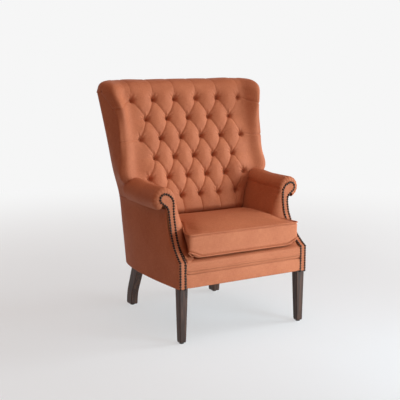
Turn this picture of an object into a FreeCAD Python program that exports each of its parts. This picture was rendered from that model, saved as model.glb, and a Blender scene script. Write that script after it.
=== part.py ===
"""Deep-buttoned wing armchair: frame, upholstery and loose seat cushion, in millimetres.

+X is the sitter's left, -Y the front, +Z up; the origin is on the floor under the middle of the chair.
"""
import FreeCAD
import Part
import Sketcher
import math
import os

Vector = FreeCAD.Vector

SIZES = {
    "overall_height": 1088,
    "underside": 241,
    "front_reach": 333,
    "rear_reach": 336,
    "front_half": 327,
    "cover": 4,
    "facing_thickness": 5,
    "joint_gap": 0.3,
    "leg_top": 40,
    "leg_foot": 29,
    "foot_inset": 3,
    "glide_height": 6,
    "glide_diameter": 20,
    "rear_leg_width": 36,
    "rear_leg_depth": 50,
    "rear_foot_inset": 72,
    "rear_leg_sweep": 70,
    "rear_leg_bend": 0.3,
    "rail_rise": 5,
    "rail_height": 84,
    "rail_thickness": 26,
    "dust_cover_thickness": 1.5,
    "corner_block": 58,
    "webbing_width": 50,
    "webbing_thickness": 2,
    "seat_straps": 3,
    "deck_thickness": 28,
    "border_drop": 58,
    "border_depth": 78,
    "border_round": 24,
    "arm_front": 209,
    "sweep_radius": 253.6,
    "sweep_foot": 358,
    "arm_width": 99,
    "arm_lean_height": 470,
    "roll_height": 608,
    "roll_radius": 49,
    "arm_rail_size": 36,
    "arm_post_thickness": 20,
    "arm_post_depth": 60,
    "neck_width": 23.5,
    "row_inset": 1,
    "hook_radius": 46,
    "tip_radius": 22,
    "facing_margin": 5.5,
    "hook_middle": 140,
    "tip_turn": 65,
    "tip_shift": 4,
    "neck_lean": 0.65,
    "roll_seam": 60,
    "nail_diameter": 10,
    "nail_height": 2.6,
    "nail_pitch": 10.7,
    "wing_front": 80,
    "rake": 17.6,
    "first_row_height": 566,
    "button_plane": 82,
    "row_pitch": 91.9,
    "button_edge_low": 60,
    "button_edge_high": 15.5,
    "button_diameter": 20,
    "button_height": 7,
    "tuft_height": 40,
    "pleat_width": 62,
    "pad_thickness": 45,
    "pad_low": 396,
    "upright_width": 32,
    "upright_depth": 36,
    "crest_height": 40,
    "crest_depth": 40,
    "crest_overhang": 9,
    "crest_clearance": 12,
    "top_roll": 48,
    "wing_bar": 22,
    "wing_clearance": 6,
    "wing_low": 654,
    "wing_mid": 820,
    "wing_flare": 57,
    "wing_set_back": 15,
    "back_inset_arm": 67,
    "back_inset_wing": 55,
    "back_inset_top": 19,
    "shell_seam_angle": 50,
    "shell_step": 5,
    "shell_bulge": 17,
    "shell_low_rear": 318,
    "shell_low_corner": 175,
    "shell_low_flat": 190,
    "shell_flare": 88,
    "shell_top_corner": 252,
    "shell_top_flat": 328,
    "cushion_inset": 44,
    "cushion_rear": 22,
    "cushion_border": 96,
    "cushion_crown": 26,
    "cushion_corner": 34,
    "cushion_edge": 14,
    "cushion_proud": 3,
    "cushion_wall": 8,
    "cushion_gap": 2,
}

doc = FreeCAD.newDocument("armchair")
sheet = doc.addObject("Spreadsheet::Sheet", "sizes")
for row, (name, value) in enumerate(SIZES.items(), start=1):
    sheet.set("A%d" % row, name)
    sheet.set("B%d" % row, str(value))
    sheet.setAlias("B%d" % row, name)
doc.recompute()

pieces = []


def size(name):
    """The sheet's value of one size, in millimetres."""
    return float(sheet.get(name))


def number(expression):
    """The value of an expression on the sheet's sizes, as a plain number."""
    value = sheet.evalExpression(expression)
    return float(getattr(value, "Value", value))


def keep(label, item):
    """Give a document object the label that names its file, and list it as a sub-part."""
    item.Label = label
    pieces.append(item)
    return item


def feature(label, shape):
    """A sub-part whose shape is worked out here from the sheet's sizes."""
    item = doc.addObject("Part::Feature", label)
    item.Shape = shape
    return keep(label, item)


def box(label, corner, extent):
    """A rectangular bar; corner and extent are expressions on the sheet."""
    item = doc.addObject("Part::Box", label)
    for axis, expression in zip("xyz", corner):
        item.setExpression("Placement.Base." + axis, expression)
    for name, expression in zip(("Length", "Width", "Height"), extent):
        item.setExpression(name, expression)
    return keep(label, item)


def sketch(body, plane, level, points):
    """A closed polygon on one of the body's own origin planes, each corner bound to the sheet."""
    drawing = body.newObject("Sketcher::SketchObject", body.Name + "_sketch")
    origin = [item for item in body.Origin.OriginFeatures if item.Role == plane][0]
    drawing.AttachmentSupport = [(origin, "")]
    drawing.MapMode = "FlatFace"
    drawing.setExpression("AttachmentOffset.Base.z", level)
    corners = [Vector(number(first), number(second), 0) for first, second in points]
    count = len(corners)
    for index in range(count):
        drawing.addGeometry(Part.LineSegment(corners[index], corners[(index + 1) % count]))
    for index in range(count):
        drawing.addConstraint(Sketcher.Constraint("Coincident", index, 2, (index + 1) % count, 1))
    for index, pair in enumerate(points):
        for kind, expression in zip(("DistanceX", "DistanceY"), pair):
            place = drawing.addConstraint(
                Sketcher.Constraint(kind, -1, 1, index, 1, number(expression)))
            drawing.setExpression("Constraints[%d]" % place, expression)
    return drawing


def pad(label, plane, level, points, length):
    """A board: a polygon on an origin plane, padded by a length."""
    body = doc.addObject("PartDesign::Body", label)
    drawing = sketch(body, plane, level, points)
    board = body.newObject("PartDesign::Pad", label + "_pad")
    board.Profile = drawing
    board.setExpression("Length", length)
    return keep(label, body)


def loft(label, levels, post=None):
    """A leg or bar lofted through level sections, with an optional straight post on top."""
    body = doc.addObject("PartDesign::Body", label)
    drawings = [sketch(body, "XY_Plane", level, points) for level, points in levels]
    bar = body.newObject("PartDesign::AdditiveLoft", label + "_loft")
    bar.Profile = drawings[0]
    bar.Sections = drawings[1:]
    if post:
        top_drawing = sketch(body, "XY_Plane", levels[-1][0], levels[-1][1])
        top = body.newObject("PartDesign::Pad", label + "_post")
        top.Profile = top_drawing
        top.setExpression("Length", post)
    return keep(label, body)


def rectangle(x_low, x_high, y_low, y_high):
    """The four corners of a rectangle, as expressions."""
    return [(x_low, y_low), (x_high, y_low), (x_high, y_high), (x_low, y_high)]


def side_points(points, side):
    """The same corners on the left (+1) or right (-1) side of the chair."""
    if side > 0:
        return points
    return [("-(%s)" % first, second) for first, second in points]


SIDES = (("left", 1), ("right", -1))
RAIL_LOW = "sizes.underside + sizes.rail_rise"
RAIL_TOP = "sizes.underside + sizes.rail_rise + sizes.rail_height"
FRAME_FRONT = "-(sizes.front_reach - sizes.facing_thickness)"
LEG_INNER = "sizes.front_half - sizes.leg_top"
LEG_BACK = FRAME_FRONT + " + sizes.leg_top"
REAR_LEG_FRONT = "sizes.rear_reach - sizes.rear_leg_depth - sizes.rear_leg_sweep"
REAR_LEG_OUTER = "sizes.front_half - sizes.rear_foot_inset"
REAR_LEG_INNER = REAR_LEG_OUTER + " - sizes.rear_leg_width"
DECK_TOP = RAIL_TOP + " + 2 * sizes.webbing_thickness + sizes.deck_thickness"
INSIDE_ARM = "sizes.front_half - sizes.arm_width"
CREST_HALF = "sizes.front_half + sizes.crest_overhang"

rail_top = number(RAIL_TOP)
deck_top = number(DECK_TOP)
frame_front = number(FRAME_FRONT)
gap = size("joint_gap")
cover = size("cover")
front_reach = size("front_reach")
facing_thickness = size("facing_thickness")
underside = size("underside")
height = size("overall_height")


# Legs and glides

for word, side in SIDES:
    foot_outer = "sizes.front_half - sizes.foot_inset"
    foot_front = FRAME_FRONT + " + sizes.foot_inset"
    foot = rectangle("%s - sizes.leg_foot" % foot_outer, foot_outer,
                     foot_front, "%s + sizes.leg_foot" % foot_front)
    top = rectangle(LEG_INNER, "sizes.front_half", FRAME_FRONT, LEG_BACK)
    loft("front_leg_" + word,
         [("sizes.glide_height", side_points(foot, side)), ("sizes.underside", side_points(top, side))],
         "sizes.rail_rise + sizes.rail_height")
    rear_levels = []
    for level, share in (("sizes.glide_height", "0"), ("sizes.underside / 2", "sizes.rear_leg_bend"),
                         ("sizes.underside", "1")):
        shift = "%s * sizes.rear_leg_sweep" % share
        section = rectangle(REAR_LEG_INNER, REAR_LEG_OUTER,
                            "sizes.rear_reach - sizes.rear_leg_depth - " + shift,
                            "sizes.rear_reach - " + shift)
        rear_levels.append((level, side_points(section, side)))
    loft("rear_leg_" + word, rear_levels, "sizes.rail_rise + sizes.rail_height")

glides = []
foot_centre = size("front_half") - size("foot_inset") - size("leg_foot") / 2
foot_middle = frame_front + size("foot_inset") + size("leg_foot") / 2
rear_centre = number(REAR_LEG_OUTER) - size("rear_leg_width") / 2
rear_middle = size("rear_reach") - size("rear_leg_depth") / 2
for x, y in ((foot_centre, foot_middle), (rear_centre, rear_middle)):
    for word, side in SIDES:
        glides.append(Part.makeCylinder(size("glide_diameter") / 2, size("glide_height"),
                                        Vector(side * x, y, 0)))
feature("glides", Part.makeCompound(glides))


# Seat frame

box("front_rail", ("-(%s)" % LEG_INNER, FRAME_FRONT, RAIL_LOW),
    ("2 * (%s)" % LEG_INNER, "sizes.rail_thickness", "sizes.rail_height"))
box("rear_rail", ("-(%s)" % REAR_LEG_INNER, REAR_LEG_FRONT, RAIL_LOW),
    ("2 * (%s)" % REAR_LEG_INNER, "sizes.rail_thickness", "sizes.rail_height"))
side_rail_front = "sizes.front_half - sizes.leg_top / 2"
side_rail_rear = REAR_LEG_OUTER + " - sizes.rear_leg_width / 2"
side_rail = [("%s - sizes.rail_thickness / 2" % side_rail_front, LEG_BACK),
             ("%s + sizes.rail_thickness / 2" % side_rail_front, LEG_BACK),
             ("%s + sizes.rail_thickness / 2" % side_rail_rear, REAR_LEG_FRONT),
             ("%s - sizes.rail_thickness / 2" % side_rail_rear, REAR_LEG_FRONT)]
for word, side in SIDES:
    pad("side_rail_" + word, "XY_Plane", RAIL_LOW, side_points(side_rail, side), "sizes.rail_height")


def rail_inner(y):
    """Half-width between the side rails' inner faces at one depth."""
    front_y, rear_y = number(LEG_BACK), number(REAR_LEG_FRONT)
    front_x = number(side_rail_front) - size("rail_thickness") / 2
    rear_x = number(side_rail_rear) - size("rail_thickness") / 2
    return front_x + (rear_x - front_x) * (y - front_y) / (rear_y - front_y)


# Back plane: local x across, v up the rake, w out of the back towards the sitter

rake = math.radians(size("rake"))


def on_back(x, v, w):
    """A point of the raked back in the chair's own frame."""
    return Vector(x, size("button_plane") + v * math.sin(rake) - w * math.cos(rake),
                  size("first_row_height") + v * math.cos(rake) + w * math.sin(rake))


def rake_height(z):
    """Distance up the rake at which the back plane passes a height."""
    return (z - size("first_row_height")) / math.cos(rake)


def plane_depth(z, w=0):
    """Depth of the plane at w in front of the back plane, at a height."""
    return size("button_plane") + (z - size("first_row_height")) * math.tan(rake) - w / math.cos(rake)


def depth_at(z, w):
    """The same depth as an expression on the sheet."""
    return ("sizes.button_plane + (%s - sizes.first_row_height) * tan(sizes.rake * 1 deg)"
            " - (%s) / cos(sizes.rake * 1 deg)" % (z, w))


CREST_TOP = "sizes.overall_height - sizes.top_roll"
CREST_LOW = CREST_TOP + " - sizes.crest_height"
STRAP_REAR = "-sizes.pad_thickness - sizes.webbing_thickness"
UPRIGHT_REAR = STRAP_REAR + " - sizes.upright_depth"
UPRIGHT_INNER = INSIDE_ARM + " - sizes.cushion_gap - 2 * sizes.upright_width"
CREST_FRONT = depth_at(CREST_TOP, STRAP_REAR)
crest_top = number(CREST_TOP)
crest_low = number(CREST_LOW)
crest_front = number(CREST_FRONT)
pad_rear = -size("pad_thickness")
strap_rear = number(STRAP_REAR)
upright_inner = number(UPRIGHT_INNER)


def prism(points, direction):
    """A polygon carried along a direction."""
    corners = [Vector(*point) for point in points]
    return Part.Face(Part.makePolygon(corners + corners[:1])).extrude(Vector(*direction))


cross_front = number(depth_at(RAIL_TOP, STRAP_REAR))
cross_back = number(depth_at(RAIL_TOP, UPRIGHT_REAR))
cross = [(side * (rail_inner(y) - gap), y, rail_top - size("rail_height") / 2)
         for side, y in ((-1, cross_front), (1, cross_front), (1, cross_back), (-1, cross_back))]
feature("cross_rail", prism(cross, (0, 0, size("rail_height") / 2)))
upright = [(depth_at(RAIL_TOP, STRAP_REAR), RAIL_TOP), (depth_at(RAIL_TOP, UPRIGHT_REAR), RAIL_TOP),
           (depth_at(CREST_LOW, UPRIGHT_REAR), CREST_LOW), (depth_at(CREST_LOW, STRAP_REAR), CREST_LOW)]
rear_post = [(REAR_LEG_FRONT, RAIL_TOP), (REAR_LEG_FRONT + " + sizes.crest_depth", RAIL_TOP),
             (CREST_FRONT + " + sizes.crest_depth", CREST_LOW), (CREST_FRONT, CREST_LOW)]
for word, side in SIDES:
    start = UPRIGHT_INNER if side > 0 else "-(%s) - sizes.upright_width" % UPRIGHT_INNER
    pad("back_upright_" + word, "YZ_Plane", start, upright, "sizes.upright_width")
    start = REAR_LEG_INNER if side > 0 else "-(%s)" % REAR_LEG_OUTER
    pad("rear_post_" + word, "YZ_Plane", start, rear_post, "sizes.rear_leg_width")
box("crest_rail", ("-(%s)" % CREST_HALF, CREST_FRONT, CREST_LOW),
    ("2 * (%s)" % CREST_HALF, "sizes.crest_depth", "sizes.crest_height"))

blocks = []
inner = number(LEG_INNER)
front_inner = frame_front + size("rail_thickness")
leg = size("corner_block")
rear_inner = number(REAR_LEG_FRONT)
for side in (1, -1):
    for x, y, way in ((inner, front_inner, 1), (number(REAR_LEG_INNER), rear_inner, -1)):
        corners = [(side * x, y), (side * x, y + way * leg), (side * (x - leg), y)]
        blocks.append(prism([(a, b, number(RAIL_LOW)) for a, b in corners],
                            (0, 0, size("rail_height") - leg / 2)))
feature("corner_blocks", Part.makeCompound(blocks))


# Seat webbing, deck, border, apron and dust cover

strap = size("webbing_width")
thick = size("webbing_thickness")
border_back = -front_reach + size("border_depth")
long_straps = []
strap_step = 2 * upright_inner / (size("seat_straps") + 1)
for index in range(int(size("seat_straps"))):
    x = -upright_inner + strap_step * (index + 1) - strap / 2
    long_straps.append(Part.makeBox(strap, rear_inner - frame_front + size("rail_thickness"), thick,
                                    Vector(x, frame_front, rail_top)))
feature("seat_webbing_long", Part.makeCompound(long_straps))
cross_straps = []
for index in range(int(size("seat_straps"))):
    y = border_back + (cross_front - border_back) * (index + 0.5) / size("seat_straps") - strap / 2
    half = rail_inner(y) - gap
    cross_straps.append(Part.makeBox(2 * half, strap, thick, Vector(-half, y, rail_top + thick)))
feature("seat_webbing_cross", Part.makeCompound(cross_straps))

post_inner = size("front_half") - size("leg_top") / 2 - size("arm_post_thickness") / 2 + gap
DECK_REAR = depth_at(RAIL_TOP, STRAP_REAR) + " - sizes.joint_gap"
deck_half = rail_inner(number(DECK_REAR))
deck_front = border_back + gap
feature("seat_deck", Part.makeBox(2 * deck_half, number(DECK_REAR) - deck_front, size("deck_thickness"),
                                  Vector(-deck_half, deck_front, deck_top - size("deck_thickness"))))

facing_inner = size("front_half") - size("row_inset") - size("neck_width") - size("facing_margin")
panel_half = facing_inner - gap
border_low = deck_top - size("border_drop")
border_round = size("border_round")
corner_in = border_round * (1 - math.sqrt(0.5))


def arc(first, middle, last):
    """An arc through three points."""
    return Part.Arc(Vector(*first), Vector(*middle), Vector(*last)).toShape()


def line(first, last):
    """A straight edge."""
    return Part.makeLine(Vector(*first), Vector(*last))


def run(points):
    """Straight edges through a list of points."""
    return [line(first, last) for first, last in zip(points, points[1:])]


def filled(edges, direction):
    """A closed outline carried along a direction."""
    return Part.Face(Part.Wire(edges)).extrude(Vector(*direction))


border_start = (-panel_half, -front_reach, border_low)
border_edges = run([(-panel_half, -front_reach, deck_top - border_round), border_start,
                    (-panel_half, frame_front - gap, border_low),
                    (-panel_half, frame_front - gap, rail_top + gap),
                    (-panel_half, border_back, rail_top + gap), (-panel_half, border_back, deck_top),
                    (-panel_half, -front_reach + border_round, deck_top)])
border_edges.append(arc((-panel_half, -front_reach + border_round, deck_top),
                        (-panel_half, -front_reach + corner_in, deck_top - corner_in),
                        (-panel_half, -front_reach, deck_top - border_round)))
border = filled(border_edges, (2 * panel_half, 0, 0))
for item in long_straps:
    border = border.cut(item)
feature("front_border", border)
PANEL_HALF = ("sizes.front_half - sizes.row_inset - sizes.neck_width"
              " - sizes.facing_margin - sizes.joint_gap")
APRON_HEIGHT = DECK_TOP + " - sizes.border_drop - sizes.underside"
box("front_apron", ("-(%s)" % PANEL_HALF, "-sizes.front_reach", "sizes.underside"),
    ("2 * (%s)" % PANEL_HALF, "sizes.facing_thickness", APRON_HEIGHT))


# Arm: the front edge sweeps back from the seat border to the scroll

arm_front = size("arm_front")
sweep_radius = size("sweep_radius")
sweep_foot = size("sweep_foot")
sweep_y = -(arm_front + sweep_radius)
sweep_z = sweep_foot + math.sqrt(sweep_radius ** 2 - (-front_reach - sweep_y) ** 2)
roll_z = size("roll_height")
roll_x = size("front_half") - size("row_inset")
roll = size("roll_radius")
arm_top = roll_z + roll
wing_front = size("wing_front")


def sweep_depth(z):
    """Depth of the arm's front edge at a height: upright, then a hollow arc, then upright again."""
    if z <= sweep_foot:
        return -front_reach
    if z >= sweep_z:
        return -arm_front
    return sweep_y + math.sqrt(sweep_radius ** 2 - (z - sweep_z) ** 2)


def behind_sweep(shift, low, high, back):
    """All of the chair's width behind the arm's front edge, moved back by shift, between two heights."""
    reach = 2 * size("front_half")
    first_z = max(low, sweep_foot)
    points = [(-reach, sweep_depth(low) + shift, low)]
    edges = []
    if low < sweep_foot:
        points.append((-reach, -front_reach + shift, sweep_foot))
        edges += run(points)
    mid_z = (first_z + sweep_z) / 2
    start = (-reach, sweep_depth(first_z) + shift, first_z)
    end = (-reach, -arm_front + shift, sweep_z)
    edges.append(arc(start, (-reach, sweep_depth(mid_z) + shift, mid_z), end))
    edges += run([end, (-reach, -arm_front + shift, high), (-reach, back, high), (-reach, back, low),
                  (-reach, sweep_depth(low) + shift, low)])
    return filled(edges, (2 * reach, 0, 0))


row_inner = roll_x - size("neck_width")
neck_inner = roll_x - roll + size("neck_width") / 2 - gap
hook = size("hook_radius")
tip = size("tip_radius")


def scroll_edges(margin, low):
    """The facing's outline a margin outside the nail rows: up inside, round the hook, down outside."""
    hook_x = neck_inner + hook
    hook_z = roll_z - tip + size("tip_shift") / 2
    tip_x = hook_x - size("tip_shift")
    tip_z = hook_z + hook - tip
    lean_low = sweep_foot
    lean_high = sweep_foot + (sweep_z - sweep_foot) * size("neck_lean")
    neck_outer = neck_inner + size("neck_width")
    turn = math.radians(-size("tip_turn"))
    middle = math.radians(size("hook_middle"))
    wide, small = hook + margin, tip + margin

    def flat(x, z):
        return (x, 0, z)

    hook_start = flat(hook_x - wide, hook_z)
    hook_end = flat(tip_x, tip_z + small)
    hook_mid = flat(hook_x + wide * math.cos(middle), hook_z + wide * math.sin(middle))
    tip_end = flat(tip_x + small * math.cos(turn), tip_z + small * math.sin(turn))
    under_end = flat(neck_outer + margin, hook_z - hook + tip / 2)
    under_mid = flat((tip_end[0] + 2 * under_end[0]) / 3 + margin / 4,
                     (2 * tip_end[2] + under_end[2]) / 3 - margin / 4)
    edges = run([flat(row_inner - margin, low), flat(row_inner - margin, lean_low),
                 flat(neck_inner - margin, lean_high), hook_start])
    edges.append(arc(hook_start, hook_mid, hook_end))
    edges.append(arc(hook_end, flat(tip_x + small, tip_z), tip_end))
    edges.append(arc(tip_end, under_mid, under_end))
    edges += run([under_end, flat(neck_outer + margin, lean_high), flat(roll_x + margin, lean_low),
                  flat(roll_x + margin, low)])
    return edges


def scroll_block(margin, shift_front, shift_back, low):
    """The scroll outline between two shifts of the arm's front edge."""
    edges = scroll_edges(margin, low)
    edges.append(line((roll_x + margin, 0, low), (row_inner - margin, 0, low)))
    block = filled(edges, (0, -2 * front_reach, 0))
    block.translate(Vector(0, front_reach, 0))
    back = size("rear_reach")
    block = block.common(behind_sweep(shift_front, low, height, back))
    return block.cut(behind_sweep(shift_back, low, height, back))


def cap(radius, rise):
    """A domed head: the part of a sphere above a circle of this radius."""
    ball = (radius ** 2 + rise ** 2) / (2 * rise)
    latitude = math.degrees(math.asin((ball - rise) / ball))
    return Part.makeSphere(ball, Vector(0, 0, rise - ball), Vector(0, 0, 1), latitude, 90, 360)


def mirrored(shape, side):
    """The shape as it is on the left, or mirrored for the right."""
    return shape if side > 0 else shape.mirror(Vector(0, 0, 0), Vector(1, 0, 0))


margin = size("facing_margin")
facing = scroll_block(margin, 0, facing_thickness, underside)
facing_room = scroll_block(margin + gap, -1, facing_thickness + gap, underside)

rail_half = size("arm_rail_size") / 2
RAIL_START = "-sizes.arm_front + sizes.facing_thickness + sizes.joint_gap"
RAIL_SPAN = "sizes.wing_front + sizes.wing_bar - (%s)" % RAIL_START
post_top = roll_z - rail_half
post_back = -arm_front + size("arm_post_depth")
arm_post = Part.makeBox(size("arm_post_thickness"), front_reach + post_back, post_top - rail_top,
                        Vector(post_inner, -front_reach, rail_top))
arm_post = arm_post.common(behind_sweep(facing_thickness + gap, rail_top, height, size("rear_reach")))

roll_inner = roll_x - roll


def on_roll(degrees):
    """A point on the arm roll's round, from its outermost point upwards."""
    turn = math.radians(degrees)
    return (roll_x + roll * math.cos(turn), 0, roll_z + roll * math.sin(turn))


seam_x, _, seam_z = on_roll(-size("roll_seam"))
inside = number(INSIDE_ARM)
lean = size("arm_lean_height")
arm_outer = post_inner - gap
pad_low = deck_top + gap
arm_edges = run([(arm_outer, 0, seam_z), (arm_outer, 0, pad_low), (inside, 0, pad_low), (inside, 0, lean)])
arm_edges.append(arc((inside, 0, lean), ((inside + roll_inner) / 2 - cover, 0, (lean + roll_z) / 2 + cover),
                     (roll_inner, 0, roll_z)))
arm_edges.append(arc(on_roll(180), on_roll(135), on_roll(90)))
arm_edges.append(arc(on_roll(90), on_roll(45), on_roll(0)))
arm_edges.append(arc(on_roll(0), on_roll(-size("roll_seam") / 2), on_roll(-size("roll_seam"))))
arm_edges.append(line((seam_x, 0, seam_z), (arm_outer, 0, seam_z)))
arm_pad = filled(arm_edges, (0, front_reach + wing_front, 0))
arm_pad.translate(Vector(0, -front_reach, 0))
arm_pad = arm_pad.common(behind_sweep(0, pad_low, height, size("rear_reach")))
rail_room = Part.makeBox(2 * (rail_half + gap), 2 * front_reach, 2 * (rail_half + gap),
                         Vector(roll_x - rail_half - gap, -front_reach, roll_z - rail_half - gap))
arm_pad = arm_pad.cut(facing_room).cut(rail_room).cut(arm_post)

nail_radius = size("nail_diameter") / 2
nail_head = cap(nail_radius, size("nail_height"))
nail_path = Part.Wire(scroll_edges(0, underside + nail_radius))
nail_count = int(nail_path.Length / size("nail_pitch")) + 1
nails = []
for point in nail_path.discretize(nail_count):
    z = point.z
    depth = sweep_depth(z)
    out = Vector(0, -1, 0)
    if sweep_foot < z < sweep_z:
        out = Vector(0, sweep_y - depth, sweep_z - z).normalize()
    seat = Vector(point.x, depth, z) + out * (gap / 2)
    head = nail_head.copy()
    head.Placement = FreeCAD.Placement(seat, FreeCAD.Rotation(Vector(0, 0, 1), out))
    nails.append(head)
nail_row = Part.makeCompound(nails)

for word, side in SIDES:
    feature("arm_facing_" + word, mirrored(facing, side))
    feature("facing_nails_" + word, mirrored(nail_row, side))
    feature("arm_post_" + word, mirrored(arm_post, side))
    start = "%d * (sizes.front_half - sizes.row_inset) - sizes.arm_rail_size / 2" % side
    box("arm_rail_" + word, (start, RAIL_START, "sizes.roll_height - sizes.arm_rail_size / 2"),
        ("sizes.arm_rail_size", RAIL_SPAN, "sizes.arm_rail_size"))
    feature("arm_pad_" + word, mirrored(arm_pad, side))


# Outer shell: each level is a plan outline of a side arc, an elliptic rear corner and a straight back

wing_low = size("wing_low")
wing_mid = size("wing_mid")
seam_angle = size("shell_seam_angle")


class Level:
    """One plan outline of the shell: front end, middle of the side, start and end of the rear corner."""

    def __init__(self, z, front, middle, start, end):
        self.z = z
        self.front = front
        self.middle = middle
        self.start = start
        self.end = end

    def between(self, other, z):
        """The outline at a height between this level and another."""
        share = (z - self.z) / (other.z - self.z)

        def mix(first, second):
            return tuple(a + (b - a) * share for a, b in zip(first, second))

        return Level(z, mix(self.front, other.front), mix(self.middle, other.middle),
                     mix(self.start, other.start), mix(self.end, other.end))

    def corner(self, degrees, inset):
        """A point on the rear corner, inset from the outside."""
        turn = math.radians(degrees)
        across = self.start[0] - self.end[0] - inset
        along = self.end[1] - self.start[1] - inset
        return (self.end[0] + across * math.cos(turn), self.start[1] + along * math.sin(turn), self.z)

    def side(self, inset, last):
        """Edges of the side and the rear corner up to an angle, inset from the outside."""
        front = (self.front[0] - inset, self.front[1], self.z)
        middle = (self.middle[0] - inset, self.middle[1], self.z)
        start = self.corner(0, inset)
        return [arc(front, middle, start),
                arc(start, self.corner(last / 2, inset), self.corner(last, inset))]

    def side_wire(self, last):
        """A closed thin section of the side panel."""
        outer = self.side(0, last)
        inner = self.side(cover, last)
        x, y = self.front
        ends = [line(self.corner(last, 0), self.corner(last, cover)),
                line((x - cover, y, self.z), (x, y, self.z))]
        return Part.Wire(outer + ends[:1] + inner[::-1] + ends[1:])

    def back_wire(self, first):
        """A closed thin section of the back panel."""

        def half(inset, side):
            angles = (first, (first + 90) / 2, 90)
            return [(side * x, y, z) for x, y, z in (self.corner(angle, inset) for angle in angles)]

        edges = []
        for inset in (0, cover):
            left, right = half(inset, 1), half(inset, -1)
            edges.append([arc(*left), line(left[2], right[2]), arc(*right[::-1])])
        ends = [line(half(0, -1)[0], half(cover, -1)[0]), line(half(cover, 1)[0], half(0, 1)[0])]
        return Part.Wire(edges[0] + ends[:1] + edges[1][::-1] + ends[1:])


step = size("shell_step")
half = size("front_half")
low_half = half + size("shell_bulge")
wing_half = half + size("wing_flare")
top_half = half + size("shell_flare")
low_rear = size("shell_low_rear")
top_rear = crest_front + size("crest_depth") + size("crest_clearance")
low_corner, low_flat = size("shell_low_corner"), size("shell_low_flat")
top_corner, top_flat = size("shell_top_corner"), size("shell_top_flat")
set_back = wing_front + size("wing_set_back")
bottom = Level(underside, (half + cover, frame_front), (low_half, -8 * step),
               (low_half - 4 * step, low_corner), (low_flat, low_rear))
arm_seam = Level(seam_z - gap, (half - step, -arm_front + facing_thickness), (low_half, 0),
                 (low_half, low_corner + 2 * step), (low_flat + 6 * step, low_rear + step))
foot_level = bottom.between(arm_seam, sweep_foot)
foot_level.front = (bottom.front[0], frame_front)
wing_seam = Level(seam_z, (roll_x + roll + gap, set_back), (wing_half - 3 * step, set_back + 9 * step),
                  arm_seam.start, arm_seam.end)
wing_levels = [wing_seam,
               Level(wing_low, (wing_half, set_back + step), (wing_half - step, set_back + 11 * step),
                     (wing_half - 5 * step, low_corner + 5 * step),
                     (low_flat + 10 * step, low_rear + step)),
               Level(wing_mid, (wing_half, set_back + 5 * step), (wing_half, set_back + 14 * step),
                     (wing_half + step, low_corner + 8 * step),
                     (low_flat + 17 * step, low_rear + 2 * step)),
               Level(crest_top, (top_half - 3 * cover, top_corner - 10 * step),
                     (top_half - cover, top_corner - 5 * step),
                     (top_half, top_corner), (top_flat, top_rear))]
tips = [(wing_half - 6 * step, wing_front + gap), (wing_half - 4 * step, wing_front + gap),
        (wing_half - 4 * step, wing_front + 5 * step), (wing_half + 3 * step, wing_front + 15 * step)]


def ruled(wires):
    """A solid of straight rulings through closed sections."""
    return Part.makeLoft(wires, True, True)


side_seam = seam_angle - gap
arm_levels = [bottom, foot_level, arm_seam]
outside_arm = ruled([level.side_wire(side_seam) for level in arm_levels])
outside_arm = outside_arm.common(
    behind_sweep(facing_thickness + gap, underside, height, 2 * size("rear_reach")))
outside_wing = ruled([level.side_wire(side_seam) for level in wing_levels])
outside_back = ruled([level.back_wire(seam_angle + gap) for level in arm_levels + wing_levels[1:]])
for word, side in SIDES:
    feature("outside_arm_" + word, mirrored(outside_arm, side))
    feature("outside_wing_" + word, mirrored(outside_wing, side))
feature("outside_back", outside_back)

dust_z = number(RAIL_LOW) - size("dust_cover_thickness")
dust_level = Level(dust_z, bottom.front, bottom.middle, bottom.start, bottom.end)
dust_inset = 2 * cover
dust_half = dust_level.side(dust_inset, 90)
dust_edges = [edge.mirror(Vector(0, 0, 0), Vector(1, 0, 0)) for edge in dust_half] + dust_half
for x, y in ((bottom.front[0] - dust_inset, frame_front), (bottom.end[0], bottom.end[1] - dust_inset)):
    dust_edges.append(line((-x, y, dust_z), (x, y, dust_z)))
dust = Part.Face(Part.Wire(Part.__sortEdges__(dust_edges)))
dust = dust.extrude(Vector(0, 0, size("dust_cover_thickness")))
leg_plans = [(inner, frame_front, size("leg_top"), size("leg_top")),
             (number(REAR_LEG_INNER), rear_inner, size("rear_leg_width"), size("rear_leg_depth"))]
for x, y, wide, deep in leg_plans:
    for start in (x, -x - wide):
        dust = dust.cut(Part.makeBox(wide + 2 * gap, deep + 2 * gap, height,
                                     Vector(start - gap, y - gap, 0)))
feature("dust_cover", dust)


# Inside back: a raked pad with diamond tufts drawn down to its buttons

between_arms = inside - 2 * size("cushion_gap")
back_half = [(size("pad_low"), between_arms), (lean + 2 * step, between_arms),
             (roll_z - 2 * cover, size("front_half") - size("back_inset_arm")),
             (wing_low, size("front_half") - size("back_inset_wing")),
             (crest_top, size("front_half") - size("back_inset_top"))]


def half_width(z):
    """Half the inside back's width at a height."""
    for (low_z, low_x), (high_z, high_x) in zip(back_half, back_half[1:]):
        if z <= high_z:
            return low_x + (high_x - low_x) * (z - low_z) / (high_z - low_z)
    return back_half[-1][1]


tuft = size("tuft_height")
outline = [(x, rake_height(z)) for z, x in back_half]
outline += [(-x, v) for x, v in outline[::-1]]
normal = on_back(0, 0, 1) - on_back(0, 0, 0)
pad_block = prism([tuple(on_back(x, v, pad_rear)) for x, v in outline],
                  tuple(normal * (size("pad_thickness") + tuft)))
top_cut = Part.makeBox(2 * height, height, height, Vector(-height, -height / 2, crest_top))
pad_block = pad_block.cut(top_cut)

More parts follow.
